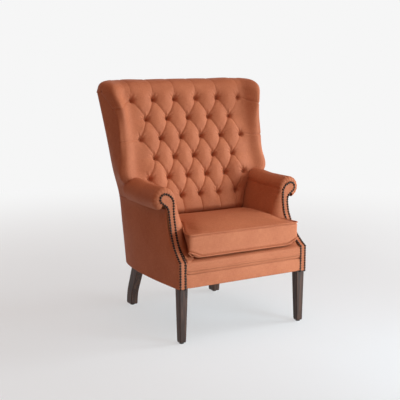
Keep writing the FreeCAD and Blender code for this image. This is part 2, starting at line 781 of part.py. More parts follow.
ROWS = 6
button_radius = size("button_diameter") / 2
seat_level = gap
buttons = []
pitch_low = (half_width(roll_z - 2 * cover) - size("button_edge_low")) / ((ROWS - 2) / 2)
pitch_high = (half_width(crest_top) - size("button_edge_high")) / ((ROWS - 1) / 2)
for row in range(ROWS):
    pitch = pitch_low + (pitch_high - pitch_low) * row / (ROWS - 1)
    count = ROWS - 1 + row % 2
    buttons.append([((index - (count - 1) / 2) * pitch, row * size("row_pitch")) for index in range(count)])


def pleat(first, last):
    """A V-shaped groove along a line between two points of the back."""
    along = Vector(last[0] - first[0], last[1] - first[1], 0).normalize()
    across = Vector(-along.y, along.x, 0) * (size("pleat_width") / 2)
    rise = tuft + cover
    start = Vector(first[0], first[1], 0)
    corners = [start + across, start - across]
    points = [on_back(corner.x, corner.y, rise) for corner in corners]
    points.append(on_back(first[0], first[1], 2 * seat_level))
    direction = on_back(last[0], last[1], 0) - on_back(first[0], first[1], 0)
    return prism([tuple(point) for point in points], tuple(direction))


grooves = []
for low_row, high_row in zip(buttons, buttons[1:]):
    for x, v in low_row:
        for other_x, other_v in high_row:
            if abs(other_x - x) < pitch_high * 0.75:
                grooves.append(pleat((x, v), (other_x, other_v)))
pad_top_v = rake_height(height)
pad_bottom_v = rake_height(size("pad_low")) - tuft
grooves += [pleat((x, v), (x, pad_top_v)) for x, v in buttons[-1]]
grooves += [pleat((x, v), (x, pad_bottom_v)) for x, v in buttons[0]]
dimples = []
for row in buttons:
    for x, v in row:
        dimples.append(Part.makeCone(button_radius + gap, button_radius + tuft / 2, tuft + cover,
                                     on_back(x, v, seat_level), normal))
lower_top_v = rake_height(lean + tuft)
lower_corners = [(-inside, pad_bottom_v), (inside, pad_bottom_v),
                 (inside, lower_top_v), (-inside, lower_top_v)]
lower_cut = prism([tuple(on_back(x, v, 0)) for x, v in lower_corners], tuple(normal * (2 * tuft)))
inside_back = pad_block.cut(lower_cut)
for tool in grooves + dimples:
    inside_back = inside_back.cut(tool)
feature("inside_back", inside_back)

button_rim = size("button_height") / 3
dome = cap(button_radius, size("button_height") - button_rim)
dome.translate(Vector(0, 0, button_rim))
button = Part.makeCylinder(button_radius, button_rim).fuse(dome).removeSplitter()
heads = []
for row in buttons:
    for x, v in row:
        head = button.copy()
        head.Placement = FreeCAD.Placement(on_back(x, v, seat_level),
                                           FreeCAD.Rotation(Vector(0, 0, 1), normal))
        heads.append(head)
feature("back_buttons", Part.makeCompound(heads))

back_straps = []
for index in range(1, ROWS - 1):
    v = index * size("row_pitch")
    half = upright_inner + size("upright_width")
    corners = [(-half, v), (half, v), (half, v + strap), (-half, v + strap)]
    corners = [tuple(on_back(x, along, strap_rear)) for x, along in corners]
    back_straps.append(prism(corners, tuple(normal * thick)))
feature("back_webbing", Part.makeCompound(back_straps))

roll_front = plane_depth(crest_top, tuft)
roll_rear = top_rear - cover
round_top = size("top_roll") * 0.6
cut_in = round_top * (1 - math.sqrt(0.5))
roll_half = half_width(crest_top)
roll_low = crest_top + gap
roll_shoulder = height - round_top
roll_end = [(-roll_half, y, z) for y, z in (
    (roll_front, roll_shoulder), (roll_front, roll_low), (roll_rear, roll_low), (roll_rear, roll_shoulder),
    (roll_rear - cut_in, height - cut_in), (roll_rear - round_top, height),
    (roll_front + round_top, height), (roll_front + cut_in, height - cut_in))]
roll_edges = run(roll_end[:4]) + [arc(*roll_end[3:6]), line(*roll_end[5:7]),
                                  arc(roll_end[6], roll_end[7], roll_end[0])]
feature("top_roll", filled(roll_edges, (2 * roll_half, 0, 0)))


# Wings: a post and a rail inside a pad that runs from the inside back to the outside wing

wing_bar = size("wing_bar")
half_bar = wing_bar / 2
post_low = (roll_x + rail_half + gap, wing_front + 2 * wing_bar)
post_high = (tips[-1][0] - wing_bar, tips[-1][1] + 2.5 * wing_bar)
post_levels = []
for z, (x, y) in ((seam_z + wing_bar, post_low), (crest_top - wing_bar / 2, post_high)):
    corners = [(x - half_bar, y - half_bar), (x + half_bar, y - half_bar),
               (x + half_bar, y + half_bar), (x - half_bar, y + half_bar)]
    post_levels.append(Part.makePolygon([Vector(a, b, z) for a, b in corners + corners[:1]]))
wing_post = ruled(post_levels)
crest_back = crest_front + size("crest_depth")
crest_reach = number(CREST_HALF) + gap
rail_plan = [(crest_reach, crest_front), (crest_reach, crest_back),
             (post_high[0] + half_bar, post_high[1] + half_bar + gap),
             (post_high[0] - half_bar, post_high[1] + half_bar + gap)]
wing_rail = prism([(x, y, crest_low + half_bar) for x, y in rail_plan], (0, 0, wing_bar - half_bar / 2))
crest_box = Part.makeBox(2 * crest_reach, size("crest_depth") + 2 * gap, size("crest_height") + gap,
                         Vector(-crest_reach, crest_front - gap, crest_low - gap))


def wing_wire(level, tip, z, inset):
    """A closed plan section of the wing pad: front face, rounded edge, outer side, rear."""
    skin = cover + gap + inset
    raised = Level(z, level.front, level.middle, level.start, level.end)
    sides = raised.side(skin, seam_angle)
    front = (level.front[0] - skin, level.front[1], z)
    nose = (tip[0] - inset, tip[1] + inset, z)
    bulge = ((front[0] + nose[0]) / 2 + cover, (front[1] + nose[1]) / 2 - cover, z)
    x = half_width(level.z) + size("wing_clearance")
    inner_front = (x, max(tip[1], plane_depth(level.z, tuft * 0.75)) + inset, z)
    rear = raised.corner(seam_angle, skin)
    inner_rear = (x, max(plane_depth(level.z, pad_rear), inner_front[1] + wing_bar), z)
    return Part.Wire([line(inner_front, nose), arc(nose, bulge, front)] + sides
                     + [line(rear, inner_rear), line(inner_rear, inner_front)])


wing_wires = [wing_wire(level, tip, level.z + gap, 0) for level, tip in zip(wing_levels, tips)]
top_level = wing_levels[-1]
for share, inset in ((0.62, 0.2), (0.92, 0.75)):
    wing_wires.append(wing_wire(top_level, tips[-1], crest_top + size("top_roll") * share,
                                size("top_roll") * inset))
wing_pad = ruled(wing_wires)
for tool in (crest_box, wing_post, wing_rail, rail_room):
    wing_pad = wing_pad.cut(tool)
for word, side in SIDES:
    feature("wing_post_" + word, mirrored(wing_post, side))
    feature("wing_rail_" + word, mirrored(wing_rail, side))
    feature("wing_pad_" + word, mirrored(wing_pad, side))


# Loose seat cushion: crowned, its border drawn in at the seams, its front corners in front of the arms

cushion_edge = size("cushion_edge")
border_high = size("cushion_border")
crown = size("cushion_crown")
cushion_low = deck_top + gap
proud = size("cushion_proud")
cushion_front = -front_reach - proud
FULL = [(0, crown), (cushion_edge, proud), (cushion_edge + border_high / 2, 0),
        (cushion_edge + border_high, proud), (cushion_edge + border_high + crown * 0.62, 3 * cushion_edge),
        (cushion_edge + border_high + crown, 8 * cushion_edge)]


def cushion_wire(z, inset):
    """A rounded rectangle in plan, inset from the cushion's greatest outline."""
    half = size("front_half") - size("cushion_inset") - inset
    front = cushion_front + inset
    rear = size("cushion_rear") - inset
    bend = size("cushion_corner")
    cut = bend * (1 - math.sqrt(0.5))
    edges = []
    for x_side, y_edge, y_way in ((1, front, 1), (1, rear, -1), (-1, rear, -1), (-1, front, 1)):
        near_x = (x_side * (half - bend), y_edge, z)
        corner = (x_side * (half - cut), y_edge + y_way * cut, z)
        near_y = (x_side * half, y_edge + y_way * bend, z)
        order = (near_x, corner, near_y) if x_side * y_way > 0 else (near_y, corner, near_x)
        if edges:
            edges.append(line(tuple(edges[-1].Vertexes[-1].Point), order[0]))
        edges.append(arc(*order))
    edges.append(line(tuple(edges[-1].Vertexes[-1].Point), tuple(edges[0].Vertexes[0].Point)))
    return Part.Wire(edges)


def cushion_form(wall):
    """The cushion's form, drawn in by a wall all round and cut to clear the arms."""
    top = FULL[-1][0]
    shrink = (top - 2 * wall) / top
    form = ruled([cushion_wire(cushion_low + wall + z * shrink, inset + wall) for z, inset in FULL])
    arms = behind_sweep(-size("cushion_gap") - wall, cushion_low - 1, height, size("rear_reach"))
    clear = inside - size("cushion_gap") - wall
    for start in (clear, -clear - front_reach):
        room = Part.makeBox(front_reach, 3 * front_reach, height, Vector(start, -2 * front_reach, 0))
        form = form.cut(room.common(arms))
    return form


wall = size("cushion_wall")
feature("cushion_cover", cushion_form(0).cut(cushion_form(wall)))
feature("cushion_core", cushion_form(wall + gap))


# Test every piece, then write it

doc.recompute()
for item in doc.Objects:
    if "Invalid" in item.State or "Error" in item.State:
        raise RuntimeError("%s is not sound: %s" % (item.Label, item.State))
for item in pieces:
    if item.Shape.isNull() or not item.Shape.isValid():
        raise RuntimeError("%s has no valid shape" % item.Label)
os.makedirs("parts", exist_ok=True)
for item in pieces:
    item.Shape.exportStep("parts/%s.step" % item.Label)
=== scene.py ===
"""Deep-buttoned wing armchair in terracotta cloth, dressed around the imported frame.

Shapes are worked out in millimetres in the chair's own frame and put into the meshes in metres.
"""
import math

import bpy
import numpy as np
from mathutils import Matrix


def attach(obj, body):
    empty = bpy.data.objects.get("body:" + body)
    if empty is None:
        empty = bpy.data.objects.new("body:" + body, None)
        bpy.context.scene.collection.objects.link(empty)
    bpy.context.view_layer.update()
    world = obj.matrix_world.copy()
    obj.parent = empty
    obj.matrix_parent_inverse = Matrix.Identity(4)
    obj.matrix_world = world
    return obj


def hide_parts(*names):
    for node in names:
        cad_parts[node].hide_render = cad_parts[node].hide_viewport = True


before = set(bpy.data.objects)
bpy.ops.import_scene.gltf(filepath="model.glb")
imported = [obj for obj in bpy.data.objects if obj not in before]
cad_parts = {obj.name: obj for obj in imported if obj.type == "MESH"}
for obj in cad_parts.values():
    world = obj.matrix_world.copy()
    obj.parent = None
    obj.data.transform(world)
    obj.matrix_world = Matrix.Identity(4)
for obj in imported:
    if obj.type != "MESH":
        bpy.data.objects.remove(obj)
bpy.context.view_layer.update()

MM = 0.001
SIDES = (("left", 1), ("right", -1))

# Sizes of the chair, in millimetres
FRONT = -333.0
UNDERSIDE = 241.0
BORDER_LOW = 304.0
DECK = 362.0
ARM_FRONT = -209.0
SWEEP_FOOT = 358.0
SWEEP_RADIUS = 253.6
SWEEP_Y = ARM_FRONT - SWEEP_RADIUS
SWEEP_Z = SWEEP_FOOT + math.sqrt(SWEEP_RADIUS ** 2 - (FRONT - SWEEP_Y) ** 2)
ROLL_X, ROLL_Z, ROLL_R = 328.0, 608.0, 52.0
WING_FRONT = 80.0
BACK_FOOT, RAKE = 80.0, 0.317
ROW_ONE, ROW_RISE, ROW_PITCH, ROWS = 566.0, 87.6, 91.9, 6
PITCH_LOW, PITCH_HIGH = 100.0, 117.0


# Numbers

def spline(knots, values, at):
    """Natural cubic spline through values at rising knots: one linear solve gives the second derivatives."""
    knots, values, at = np.asarray(knots, float), np.asarray(values, float), np.asarray(at, float)
    step = np.diff(knots)
    count = len(knots)
    matrix = np.eye(count)
    right = np.zeros_like(values)
    inner = np.arange(1, count - 1)
    matrix[inner, inner - 1] = step[:-1]
    matrix[inner, inner] = 2 * (step[:-1] + step[1:])
    matrix[inner, inner + 1] = step[1:]
    shape = (-1,) + (1,) * (values.ndim - 1)
    slope = np.diff(values, axis=0) / step.reshape(shape)
    right[1:-1] = 6 * np.diff(slope, axis=0)
    bend = np.linalg.solve(matrix, right.reshape(count, -1)).reshape(values.shape)
    place = np.clip(np.searchsorted(knots, at, side="right") - 1, 0, count - 2)
    h = step[place].reshape(shape)
    a = ((knots[place + 1] - at) / step[place]).reshape(shape)
    b = 1 - a
    return (a * values[place] + b * values[place + 1]
            + ((a ** 3 - a) * bend[place] + (b ** 3 - b) * bend[place + 1]) * h * h / 6)


def smooth(low, high, value):
    """Smooth step from 0 at low to 1 at high."""
    share = np.clip((value - low) / (high - low), 0, 1)
    return share * share * (3 - 2 * share)


def front_depth(z):
    """Depth of the arm's front edge at heights: upright, a hollow arc, upright again."""
    z = np.asarray(z, float)
    hollow = SWEEP_Y + np.sqrt(np.maximum(SWEEP_RADIUS ** 2 - (z - SWEEP_Z) ** 2, 0))
    return np.where(z <= SWEEP_FOOT, FRONT, np.where(z >= SWEEP_Z, ARM_FRONT, hollow))


def resample(path, count):
    """A polyline's points at even arc length."""
    path = np.asarray(path, float)
    length = np.concatenate([[0], np.cumsum(np.linalg.norm(np.diff(path, axis=0), axis=1))])
    at = np.linspace(0, length[-1], count)
    return np.stack([np.interp(at, length, path[:, axis]) for axis in range(path.shape[1])], axis=1)


def bezier(controls, count):
    """A curve for each row of control points: the sum of (n over k) t^k (1 - t)^(n - k) P_k."""
    t = np.linspace(0, 1, count)[None, :, None]
    last = len(controls) - 1
    return sum(math.comb(last, k) * t ** k * (1 - t) ** (last - k) * point[:, None]
               for k, point in enumerate(controls))


def circle(centre_x, centre_z, radius, start, end, count):
    """Points of an arc in front view, angles in degrees from +x towards +z."""
    turn = np.radians(np.linspace(start, end, count))
    return np.stack([centre_x + radius * np.cos(turn), centre_z + radius * np.sin(turn)], axis=1)


# Meshes

def put_mesh(name, points, faces, uv):
    """A mesh object from points (mm), quads by index and one UV pair (m) for each face corner."""
    mesh = bpy.data.meshes.new(name)
    mesh.vertices.add(len(points))
    mesh.vertices.foreach_set("co", (np.asarray(points) * MM).astype(np.float32).ravel())
    corners = faces.shape[1]
    mesh.loops.add(faces.size)
    mesh.loops.foreach_set("vertex_index", faces.astype(np.int32).ravel())
    mesh.polygons.add(len(faces))
    mesh.polygons.foreach_set("loop_start", np.arange(0, faces.size, corners, dtype=np.int32))
    mesh.polygons.foreach_set("use_smooth", np.ones(len(faces), bool))
    mesh.update(calc_edges=True)
    mesh.uv_layers.new(name="weave").data.foreach_set("uv", uv.astype(np.float32).ravel())
    mesh.validate()
    piece = bpy.data.objects.new(name, mesh)
    bpy.context.scene.collection.objects.link(piece)
    return piece


def grid_faces(rows, columns, wrap=False):
    """Corner indices of the quads of a grid, the last column joined to the first where it wraps."""
    index = np.arange(rows * columns).reshape(rows, columns)
    if wrap:
        index = np.concatenate([index, index[:, :1]], axis=1)
    quads = np.stack([index[:-1, :-1], index[:-1, 1:], index[1:, 1:], index[1:, :-1]], axis=-1)
    return quads.reshape(-1, 4)


def arc_uv(points):
    """UV of a grid in metres: mean arc length along its rows and columns."""
    along = np.linalg.norm(np.diff(points, axis=1), axis=2).mean(axis=0)
    up = np.linalg.norm(np.diff(points, axis=0), axis=2).mean(axis=1)
    u = np.concatenate([[0], np.cumsum(along)])
    v = np.concatenate([[0], np.cumsum(up)])
    return np.stack(np.broadcast_arrays(u[None, :], v[:, None]), axis=-1) * MM


def grid_piece(name, points, flip=False, wrap=False):
    """A mesh from a rows x columns x 3 grid of points: a sheet, or a tube where its columns wrap."""
    faces = grid_faces(*points.shape[:2], wrap)
    joined = np.concatenate([points, points[:, :1]], axis=1) if wrap else points
    uv = arc_uv(joined).reshape(-1, 2)[grid_faces(*joined.shape[:2])]
    turn = -1 if flip else 1
    return put_mesh(name, points.reshape(-1, 3), faces[:, ::turn], uv[:, ::turn])


def mirror(points, side):
    """The grid as it is on the left, or mirrored for the right."""
    return points if side > 0 else points * np.array([-1.0, 1.0, 1.0])


def side_piece(name, points, side, wrap=False):
    """A grid for one side of the chair, its faces kept outwards."""
    return grid_piece(name, mirror(points, side), flip=side < 0, wrap=wrap)


def dress(piece, material, nodes=(), body="chair"):
    """Give a piece its material and body, and hide the nodes that it stands for."""
    piece.data.materials.append(material)
    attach(piece, body)
    if nodes:
        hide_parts(*nodes)


def normals(points):
    """Unit normals of a grid: the cross product of its two directions."""
    across = np.gradient(points, axis=1)
    up = np.gradient(points, axis=0)
    normal = np.cross(across, up)
    return normal / np.maximum(np.linalg.norm(normal, axis=2, keepdims=True), 1e-9)


def domes(centres, out, side, up, head, steps):
    """Points, quads and UV of domed heads: at each centre, rings of (radius, height) about its normal."""
    turns = np.linspace(0, 2 * math.pi, steps + 1)[:-1]
    spread = np.cos(turns)[:, None, None] * side + np.sin(turns)[:, None, None] * up
    rings = np.stack([centres + radius * spread + height * out for radius, height in head])
    points = rings.transpose(2, 0, 1, 3)
    shape = grid_faces(len(head), steps, wrap=True)
    faces = shape[None] + (np.arange(len(centres)) * len(head) * steps)[:, None, None]
    flat = np.concatenate([circle(0, 0, radius, 0, 360, steps + 1)[:-1] for radius, height in head])
    uv = np.broadcast_to(flat[shape] * MM, (len(centres),) + shape.shape + (2,))
    return points.reshape(-1, 3), faces.reshape(-1, 4), uv.reshape(-1, 4, 2)


# Shader maths

class Value:
    """A shader socket; arithmetic on it adds Math nodes to its tree."""

    def __init__(self, shader, socket):
        self.shader = shader
        self.socket = socket

    def join(self, operation, first, second=0.0):
        node = self.shader.node("ShaderNodeMath", {"operation": operation}, {0: first, 1: second})
        return Value(self.shader, node.outputs[0])

    def __add__(self, other):
        return self.join("ADD", self, other)

    __radd__ = __add__

    def __sub__(self, other):
        return self.join("SUBTRACT", self, other)

    def __rsub__(self, other):
        return self.join("SUBTRACT", other, self)

    def __mul__(self, other):
        return self.join("MULTIPLY", self, other)

    __rmul__ = __mul__

    def sin(self):
        return self.join("SINE", self)

    def most(self, other):
        return self.join("MAXIMUM", self, other)

    def least(self, other):
        return self.join("MINIMUM", self, other)


class Shader:
    """One material and its nodes."""

    def __init__(self, name):
        self.material = bpy.data.materials.new(name)
        self.material.use_nodes = True
        self.tree = self.material.node_tree
        self.surface = self.tree.nodes["Principled BSDF"]

    def node(self, kind, settings=None, sockets=None):
        """A node of a kind, its settings first and then its sockets' values or links."""
        made = self.tree.nodes.new(kind)
        for key, value in (settings or {}).items():
            setattr(made, key, value)
        for key, value in (sockets or {}).items():
            self.feed(made.inputs[key], value)
        return made

    def feed(self, socket, value):
        """Link a socket, or set its value."""
        if isinstance(value, Value):
            value = value.socket
        if isinstance(value, bpy.types.NodeSocket):
            self.tree.links.new(value, socket)
        else:
            socket.default_value = value

    def value(self, node, output=0):
        return Value(self, node.outputs[output])

    def coordinates(self):
        """The piece's own coordinates, in metres."""
        return self.node("ShaderNodeTexCoord").outputs["Object"]

    def stretched(self, vector, scale):
        """A vector multiplied axis by axis."""
        return self.node("ShaderNodeVectorMath", {"operation": "MULTIPLY"}, {0: vector, 1: scale}).outputs[0]

    def noise(self, vector, scale, detail, roughness=0.5):
        """Smooth noise from 0 to 1."""
        made = self.node("ShaderNodeTexNoise", {}, {"Vector": vector, "Scale": scale, "Detail": detail,
                                                    "Roughness": roughness})
        return self.value(made, "Fac")

    def mix(self, factor, first, second):
        """Two colours mixed by a factor."""
        made = self.node("ShaderNodeMix", {"data_type": "RGBA"}, {0: factor, 6: first, 7: second})
        return made.outputs[2]

    def blend(self, value, low, high, first, second):
        """Two colours mixed by a value's place between two limits."""
        share = self.node("ShaderNodeMapRange", {}, {0: value, 1: low, 2: high})
        return self.mix(share.outputs[0], first, second)

    def bump(self, height, distance, strength):
        """A normal from a height; the distance is in metres."""
        sockets = {"Height": height, "Distance": distance, "Strength": strength}
        return self.node("ShaderNodeBump", {}, sockets).outputs[0]

    def finish(self, **sockets):
        """Feed the surface's sockets, named with underscores for spaces."""
        for name, value in sockets.items():
            self.feed(self.surface.inputs[name.replace("_", " ")], value)
        return self.material


def tint(red, green, blue):
    """A screen colour as the linear colour that a socket takes."""
    share = np.array([red, green, blue]) / 255
    linear = np.where(share <= 0.04045, share / 12.92, ((share + 0.055) / 1.055) ** 2.4)
    return (*[float(part) for part in linear], 1.0)


def cloth_material(name, light, dark, thread=0.0021):
    """Plain-woven cloth: warp and weft ridges that pass over and under, with slubs and soft mottling."""
    shader = Shader(name)
    uv = shader.node("ShaderNodeUVMap", {"uv_map": "weave"}).outputs[0]
    parts = shader.node("ShaderNodeSeparateXYZ", {}, {0: uv})
    u, v = shader.value(parts, 0), shader.value(parts, 1)
    turn = 2 * math.pi / thread
    warp = (u * turn).sin()
    weft = (v * turn).sin()
    over = (u * (turn / 2)).sin() * (v * (turn / 2)).sin()
    ridge = (warp * 0.5 + 0.5).most(weft * 0.5 + 0.5) * 0.6 + over * 0.4
    slub_warp = shader.noise(shader.stretched(uv, (900.0, 45.0, 1.0)), 1.0, 2.0)
    slub_weft = shader.noise(shader.stretched(uv, (45.0, 900.0, 1.0)), 1.0, 2.0)
    soft = shader.noise(shader.coordinates(), 9.0, 3.0)
    shade = (slub_warp + slub_weft) * 0.5 * 0.75 + soft * 0.25
    colour = shader.blend(shade, 0.34, 0.66, dark, light)
    height = ridge * 0.5 + (slub_warp + slub_weft) * 0.6
    normal = shader.bump(height, 0.00035, 0.7)
    rough = 0.6 - ridge * 0.08
    return shader.finish(Base_Color=colour, Roughness=rough, Normal=normal, Specular_IOR_Level=0.1)


def wood_material(name, light, dark, gloss):
    """Stained wood: rings drawn out along the height, fine pores and a soft lacquer."""
    shader = Shader(name)
    place = shader.coordinates()
    drawn = shader.stretched(place, (38.0, 38.0, 2.6))
    waves = shader.noise(drawn, 1.0, 4.0, 0.6)
    pores = shader.noise(shader.stretched(place, (420.0, 420.0, 16.0)), 1.0, 2.0, 0.6)
    rings = ((waves * 34.0).sin() * 0.5 + 0.5) * 0.55 + pores * 0.45
    worn = shader.noise(place, 14.0, 3.0)
    colour = shader.blend(rings * 0.8 + worn * 0.2, 0.2, 0.8, dark, light)
    normal = shader.bump(pores * 0.7 + rings * 0.3, 0.0004, 0.5)
    rough = gloss + pores * 0.2
    return shader.finish(Base_Color=colour, Roughness=rough, Normal=normal, Coat_Weight=0.08,
                         Coat_Roughness=0.3, Specular_IOR_Level=0.35)


def nail_material():
    """Antique bronze: dark, rubbed brighter in spots."""
    shader = Shader("antique_bronze")
    place = shader.coordinates()
    spots = shader.noise(place, 160.0, 3.0)
    colour = shader.blend(spots, 0.35, 0.7, tint(24, 17, 14), tint(66, 49, 40))
    normal = shader.bump(shader.noise(place, 700.0, 2.0), 0.0003, 0.4)
    rough = 0.5 - spots * 0.25
    return shader.finish(Base_Color=colour, Roughness=rough, Normal=normal, Metallic=0.6)


def plain_material(name, light, dark, scale, rough_value, grain):
    """A hidden or small finish: two shades of one colour by noise, with a fine grain."""
    shader = Shader(name)
    place = shader.coordinates()
    colour = shader.blend(shader.noise(place, scale, 3.0), 0.3, 0.7, dark, light)
    fine = shader.noise(place, grain, 2.0)
    normal = shader.bump(fine, 0.0005, 0.5)
    rough = rough_value + fine * 0.1
    return shader.finish(Base_Color=colour, Roughness=rough, Normal=normal)


terracotta = cloth_material("terracotta_cloth", tint(195, 124, 90), tint(166, 97, 68))
walnut = wood_material("walnut_stain", tint(82, 55, 42), tint(38, 23, 17), 0.38)
beech = plain_material("frame_beech", tint(214, 178, 132), tint(186, 146, 100), 30.0, 0.55, 300.0)
bronze = nail_material()
jute = plain_material("jute_webbing", tint(168, 138, 96), tint(128, 100, 66), 260.0, 0.85, 900.0)
lining = plain_material("black_lining", tint(40, 38, 37), tint(26, 25, 25), 400.0, 0.9, 1500.0)
rubber = plain_material("glide_plastic", tint(48, 46, 45), tint(34, 33, 32), 80.0, 0.5, 600.0)

FINISHES = {"front_leg": walnut, "rear_leg": walnut, "facing_nails": bronze, "glides": rubber,
            "webbing": jute, "dust_cover": lining}
for node_name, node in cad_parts.items():
    finishes = [material for key, material in FINISHES.items() if key in node_name] or [beech]
    node.data.materials.clear()
    node.data.materials.append(finishes[0])


def upholster(piece, *nodes, body="chair", fill=None):
    """Dress a piece in the terracotta cloth."""
    dress(piece, terracotta, nodes, body)


# Inside back, wings and top: one sheet of cloth drawn down to the buttons

def pitch_at(row):
    """Button spacing across at a row number, counted from the lowest row."""
    return PITCH_LOW + (PITCH_HIGH - PITCH_LOW) * row / (ROWS - 1)


def back_depth(z):
    """Depth of the plane that the buttons are drawn to."""
    return BACK_FOOT + RAKE * (np.asarray(z, float) - ROW_ONE)


# Columns are button spacings from the middle, rows are heights run on over the top
NET_COLUMNS = [0.0, 1.0, 1.8, 2.5, 3.0, 3.5, 3.68, 3.75]
NET_ROWS = [350, 480, 566, 654, 741, 829, 916, 1004, 1038, 1072, 1106, 1148, 1186]
WING_EDGE = {654: (374, 74), 741: (378, 90), 829: (370, 108), 916: (371, 120), 1004: (394, 146),
             1038: (407, 172)}
WING_SEAM = {654: (386, 96), 741: (386, 108), 829: (383, 118), 916: (383, 134), 1004: (404, 192),
             1038: (415, 230)}
# Below the wings: where the side begins, then how far out and back each of its columns lies
LOW_SIDE = {350: (214, (0, 6, 9, 10, 10)), 480: (214, (0, 6, 9, 10, 10)), 566: (238, (0, 16, 30, 40, 40))}
LOW_BACK = (-6, -6, 4, 16, 26)
UPRIGHT_ROWS = 9
TOP_REAR = [(0, 332), (112, 332), (205, 332), (300, 332), (376, 322), (418, 276), (416, 238), (407, 242)]
TOP_REAR_Z = 1044
TOP_RISE = 28
TOP_RISE_OUT = [0, 0, 0, 1, 2, 4, 6, 6]
SHEET_COUNT = 301

# Stuffing: its greatest height in millimetres, then shares of it and reaches
TUFT = 40.0
FILL, DOME_RISE = 0.72, 0.17
PIT_DEPTH, PIT_REACH = 0.62, 11.0
HOLLOW_DEPTH, HOLLOW_REACH = 0.22, 34.0
FOLD_RISE, FOLD_WIDE = 0.1, 0.036
FAN_RISE, FAN_REACH, FAN_WIDE, FAN_CREASES = 0.05, 20.0, 11.0, 9
SEAM_DEPTH, SEAM_WIDE = 0.09, 3.2
WING_SEAMS = ((5.0, 0.28), (3.0, 0.0))
BUTTON_HEAD = np.array([(0.0, 5.0), (3.0, 4.7), (5.6, 3.7), (7.6, 2.1), (8.6, 0.2), (8.2, -2.5)])
BUTTON_SINK = 1.0


def back_net():
    """Control points of the half sheet: the raked back, the wing, its edge and a hem turned in behind it.

    The last rows are half an ellipse from the top of the wing over to the rear.
    """
    net = []
    for z in NET_ROWS[:UPRIGHT_ROWS]:
        row = (z - ROW_ONE) / ROW_RISE
        wide = pitch_at(min(max(row, 0), ROWS - 1))
        depth = float(back_depth(max(z, 400)))
        points = [(0, depth, z), (wide, depth - 2, z), (1.8 * wide, depth - 7, z)]
        if z in LOW_SIDE:
            side, steps = LOW_SIDE[z]
            points[2] = (min(1.8 * wide, side - 40), depth - 3, z)
            points += [(side + out, depth + back, z) for out, back in zip(steps, LOW_BACK)]
        else:
            edge, seam = WING_EDGE[z], WING_SEAM[z]
            start = (2.5 * wide, depth - 16)
            middle = ((start[0] + edge[0]) / 2 + 2, (start[1] + edge[1]) / 2 + 3)
            points += [(*start, z), (*middle, z), (*edge, z), (*seam, z), (seam[0] - 9, seam[1] + 5, z)]
        net.append(points)
    first = np.array(net[-1], float)
    rear = np.array([(x, y, TOP_REAR_Z) for x, y in TOP_REAR], float)
    reach = np.linalg.norm(rear[:, :2] - first[:, :2], axis=1)
    rise = np.minimum(TOP_RISE, 0.8 * reach) + np.array(TOP_RISE_OUT)
    for angle in np.radians([45, 90, 135, 180]):
        row = first + (rear - first) * (1 - math.cos(angle)) / 2
        row[:, 2] += rise * math.sin(angle)
        net.append(row)
    return np.array(net, float)


def button_places():
    """Row number and column of each button: five and six in turn, from the lowest row."""
    return [(row, index - (ROWS - 2 + row % 2) / 2) for row in range(ROWS)
            for index in range(ROWS - 1 + row % 2)]


def nearest_button(column, row):
    """Distance across and up, in millimetres, from each point to its nearest button."""
    best = np.full(column.shape, 1e9)
    across, up = np.zeros(column.shape), np.zeros(column.shape)
    for button_row, button_column in button_places():
        dx = (column - button_column) * pitch_at(button_row)
        dz = (row - button_row) * ROW_PITCH
        reach = np.hypot(dx, dz)
        closer = reach < best
        best = np.where(closer, reach, best)
        across = np.where(closer, dx, across)
        up = np.where(closer, dz, up)
    return best, across, up


def tuft_height(column, height):
    """Height of the stuffing over the button plane.

    With s = column - row/2 and t = column + row/2, every button has whole s and t. The dome is
    (|sin pi s| |sin pi t|) to a power, and a narrow fold runs wherever s or t is whole. Rows stop at the
    first and last, which carries the folds on straight up and down. Outside the zigzag of the outer
    buttons the cloth levels out evenly towards the wing's edge, where two seams cross it.
    Each button sits in a narrow pit inside a wide hollow, with a fan of small creases above it.
    """
    row = (height - ROW_ONE) / ROW_RISE
    held = np.clip(row, 0, ROWS - 1)
    across = np.abs(column)
    s = across - held / 2
    t = across + held / 2
    zigzag = 2.0 + 0.5 * (1 - np.abs(held % 2 - 1))
    within = across < zigzag
    out = np.maximum(across - zigzag, 0)
    dome = np.where(within, np.abs(np.sin(math.pi * s)) * np.abs(np.sin(math.pi * t)), 0.0)
    line = np.where(within, np.minimum(np.abs(s - np.round(s)), np.abs(t - np.round(t))), out)
    fold = 1 - np.exp(-line / FOLD_WIDE)
    distance, dx, dz = nearest_button(column, row)
    pit = PIT_DEPTH * np.exp(-(distance / PIT_REACH) ** 2)
    hollow = pit + HOLLOW_DEPTH * np.exp(-(distance / HOLLOW_REACH) ** 2)
    top = smooth(5.05, 5.6, row)
    level = (1 - top) * (1 - np.clip(out / (3.5 - zigzag), 0, 1)) + top * (1 - smooth(2.9, 3.6, across))
    lift = FILL - hollow + FOLD_RISE * fold * (1 - 0.4 * top) + DOME_RISE * dome ** 0.5 * (1 - 0.92 * top)
    creases = np.cos(FAN_CREASES * np.arctan2(dx, np.maximum(dz, 1e-3)))
    fan = creases * np.exp(-((distance - FAN_REACH) / FAN_WIDE) ** 2) * (dz > 0)
    lift = (lift + FAN_RISE * fan * (across < 2.6)) * level
    band = smooth(2.5, 2.62, across) * smooth(0.2, 1.0, row)
    for seam_row, fall in WING_SEAMS:
        away = (row - seam_row + fall * (across - 2.5)) * ROW_PITCH
        lift -= SEAM_DEPTH * np.exp(-(away / SEAM_WIDE) ** 2) * band
    lift *= smooth(462, 506, height) * (1 - smooth(1118, 1172, height))
    return TUFT * lift


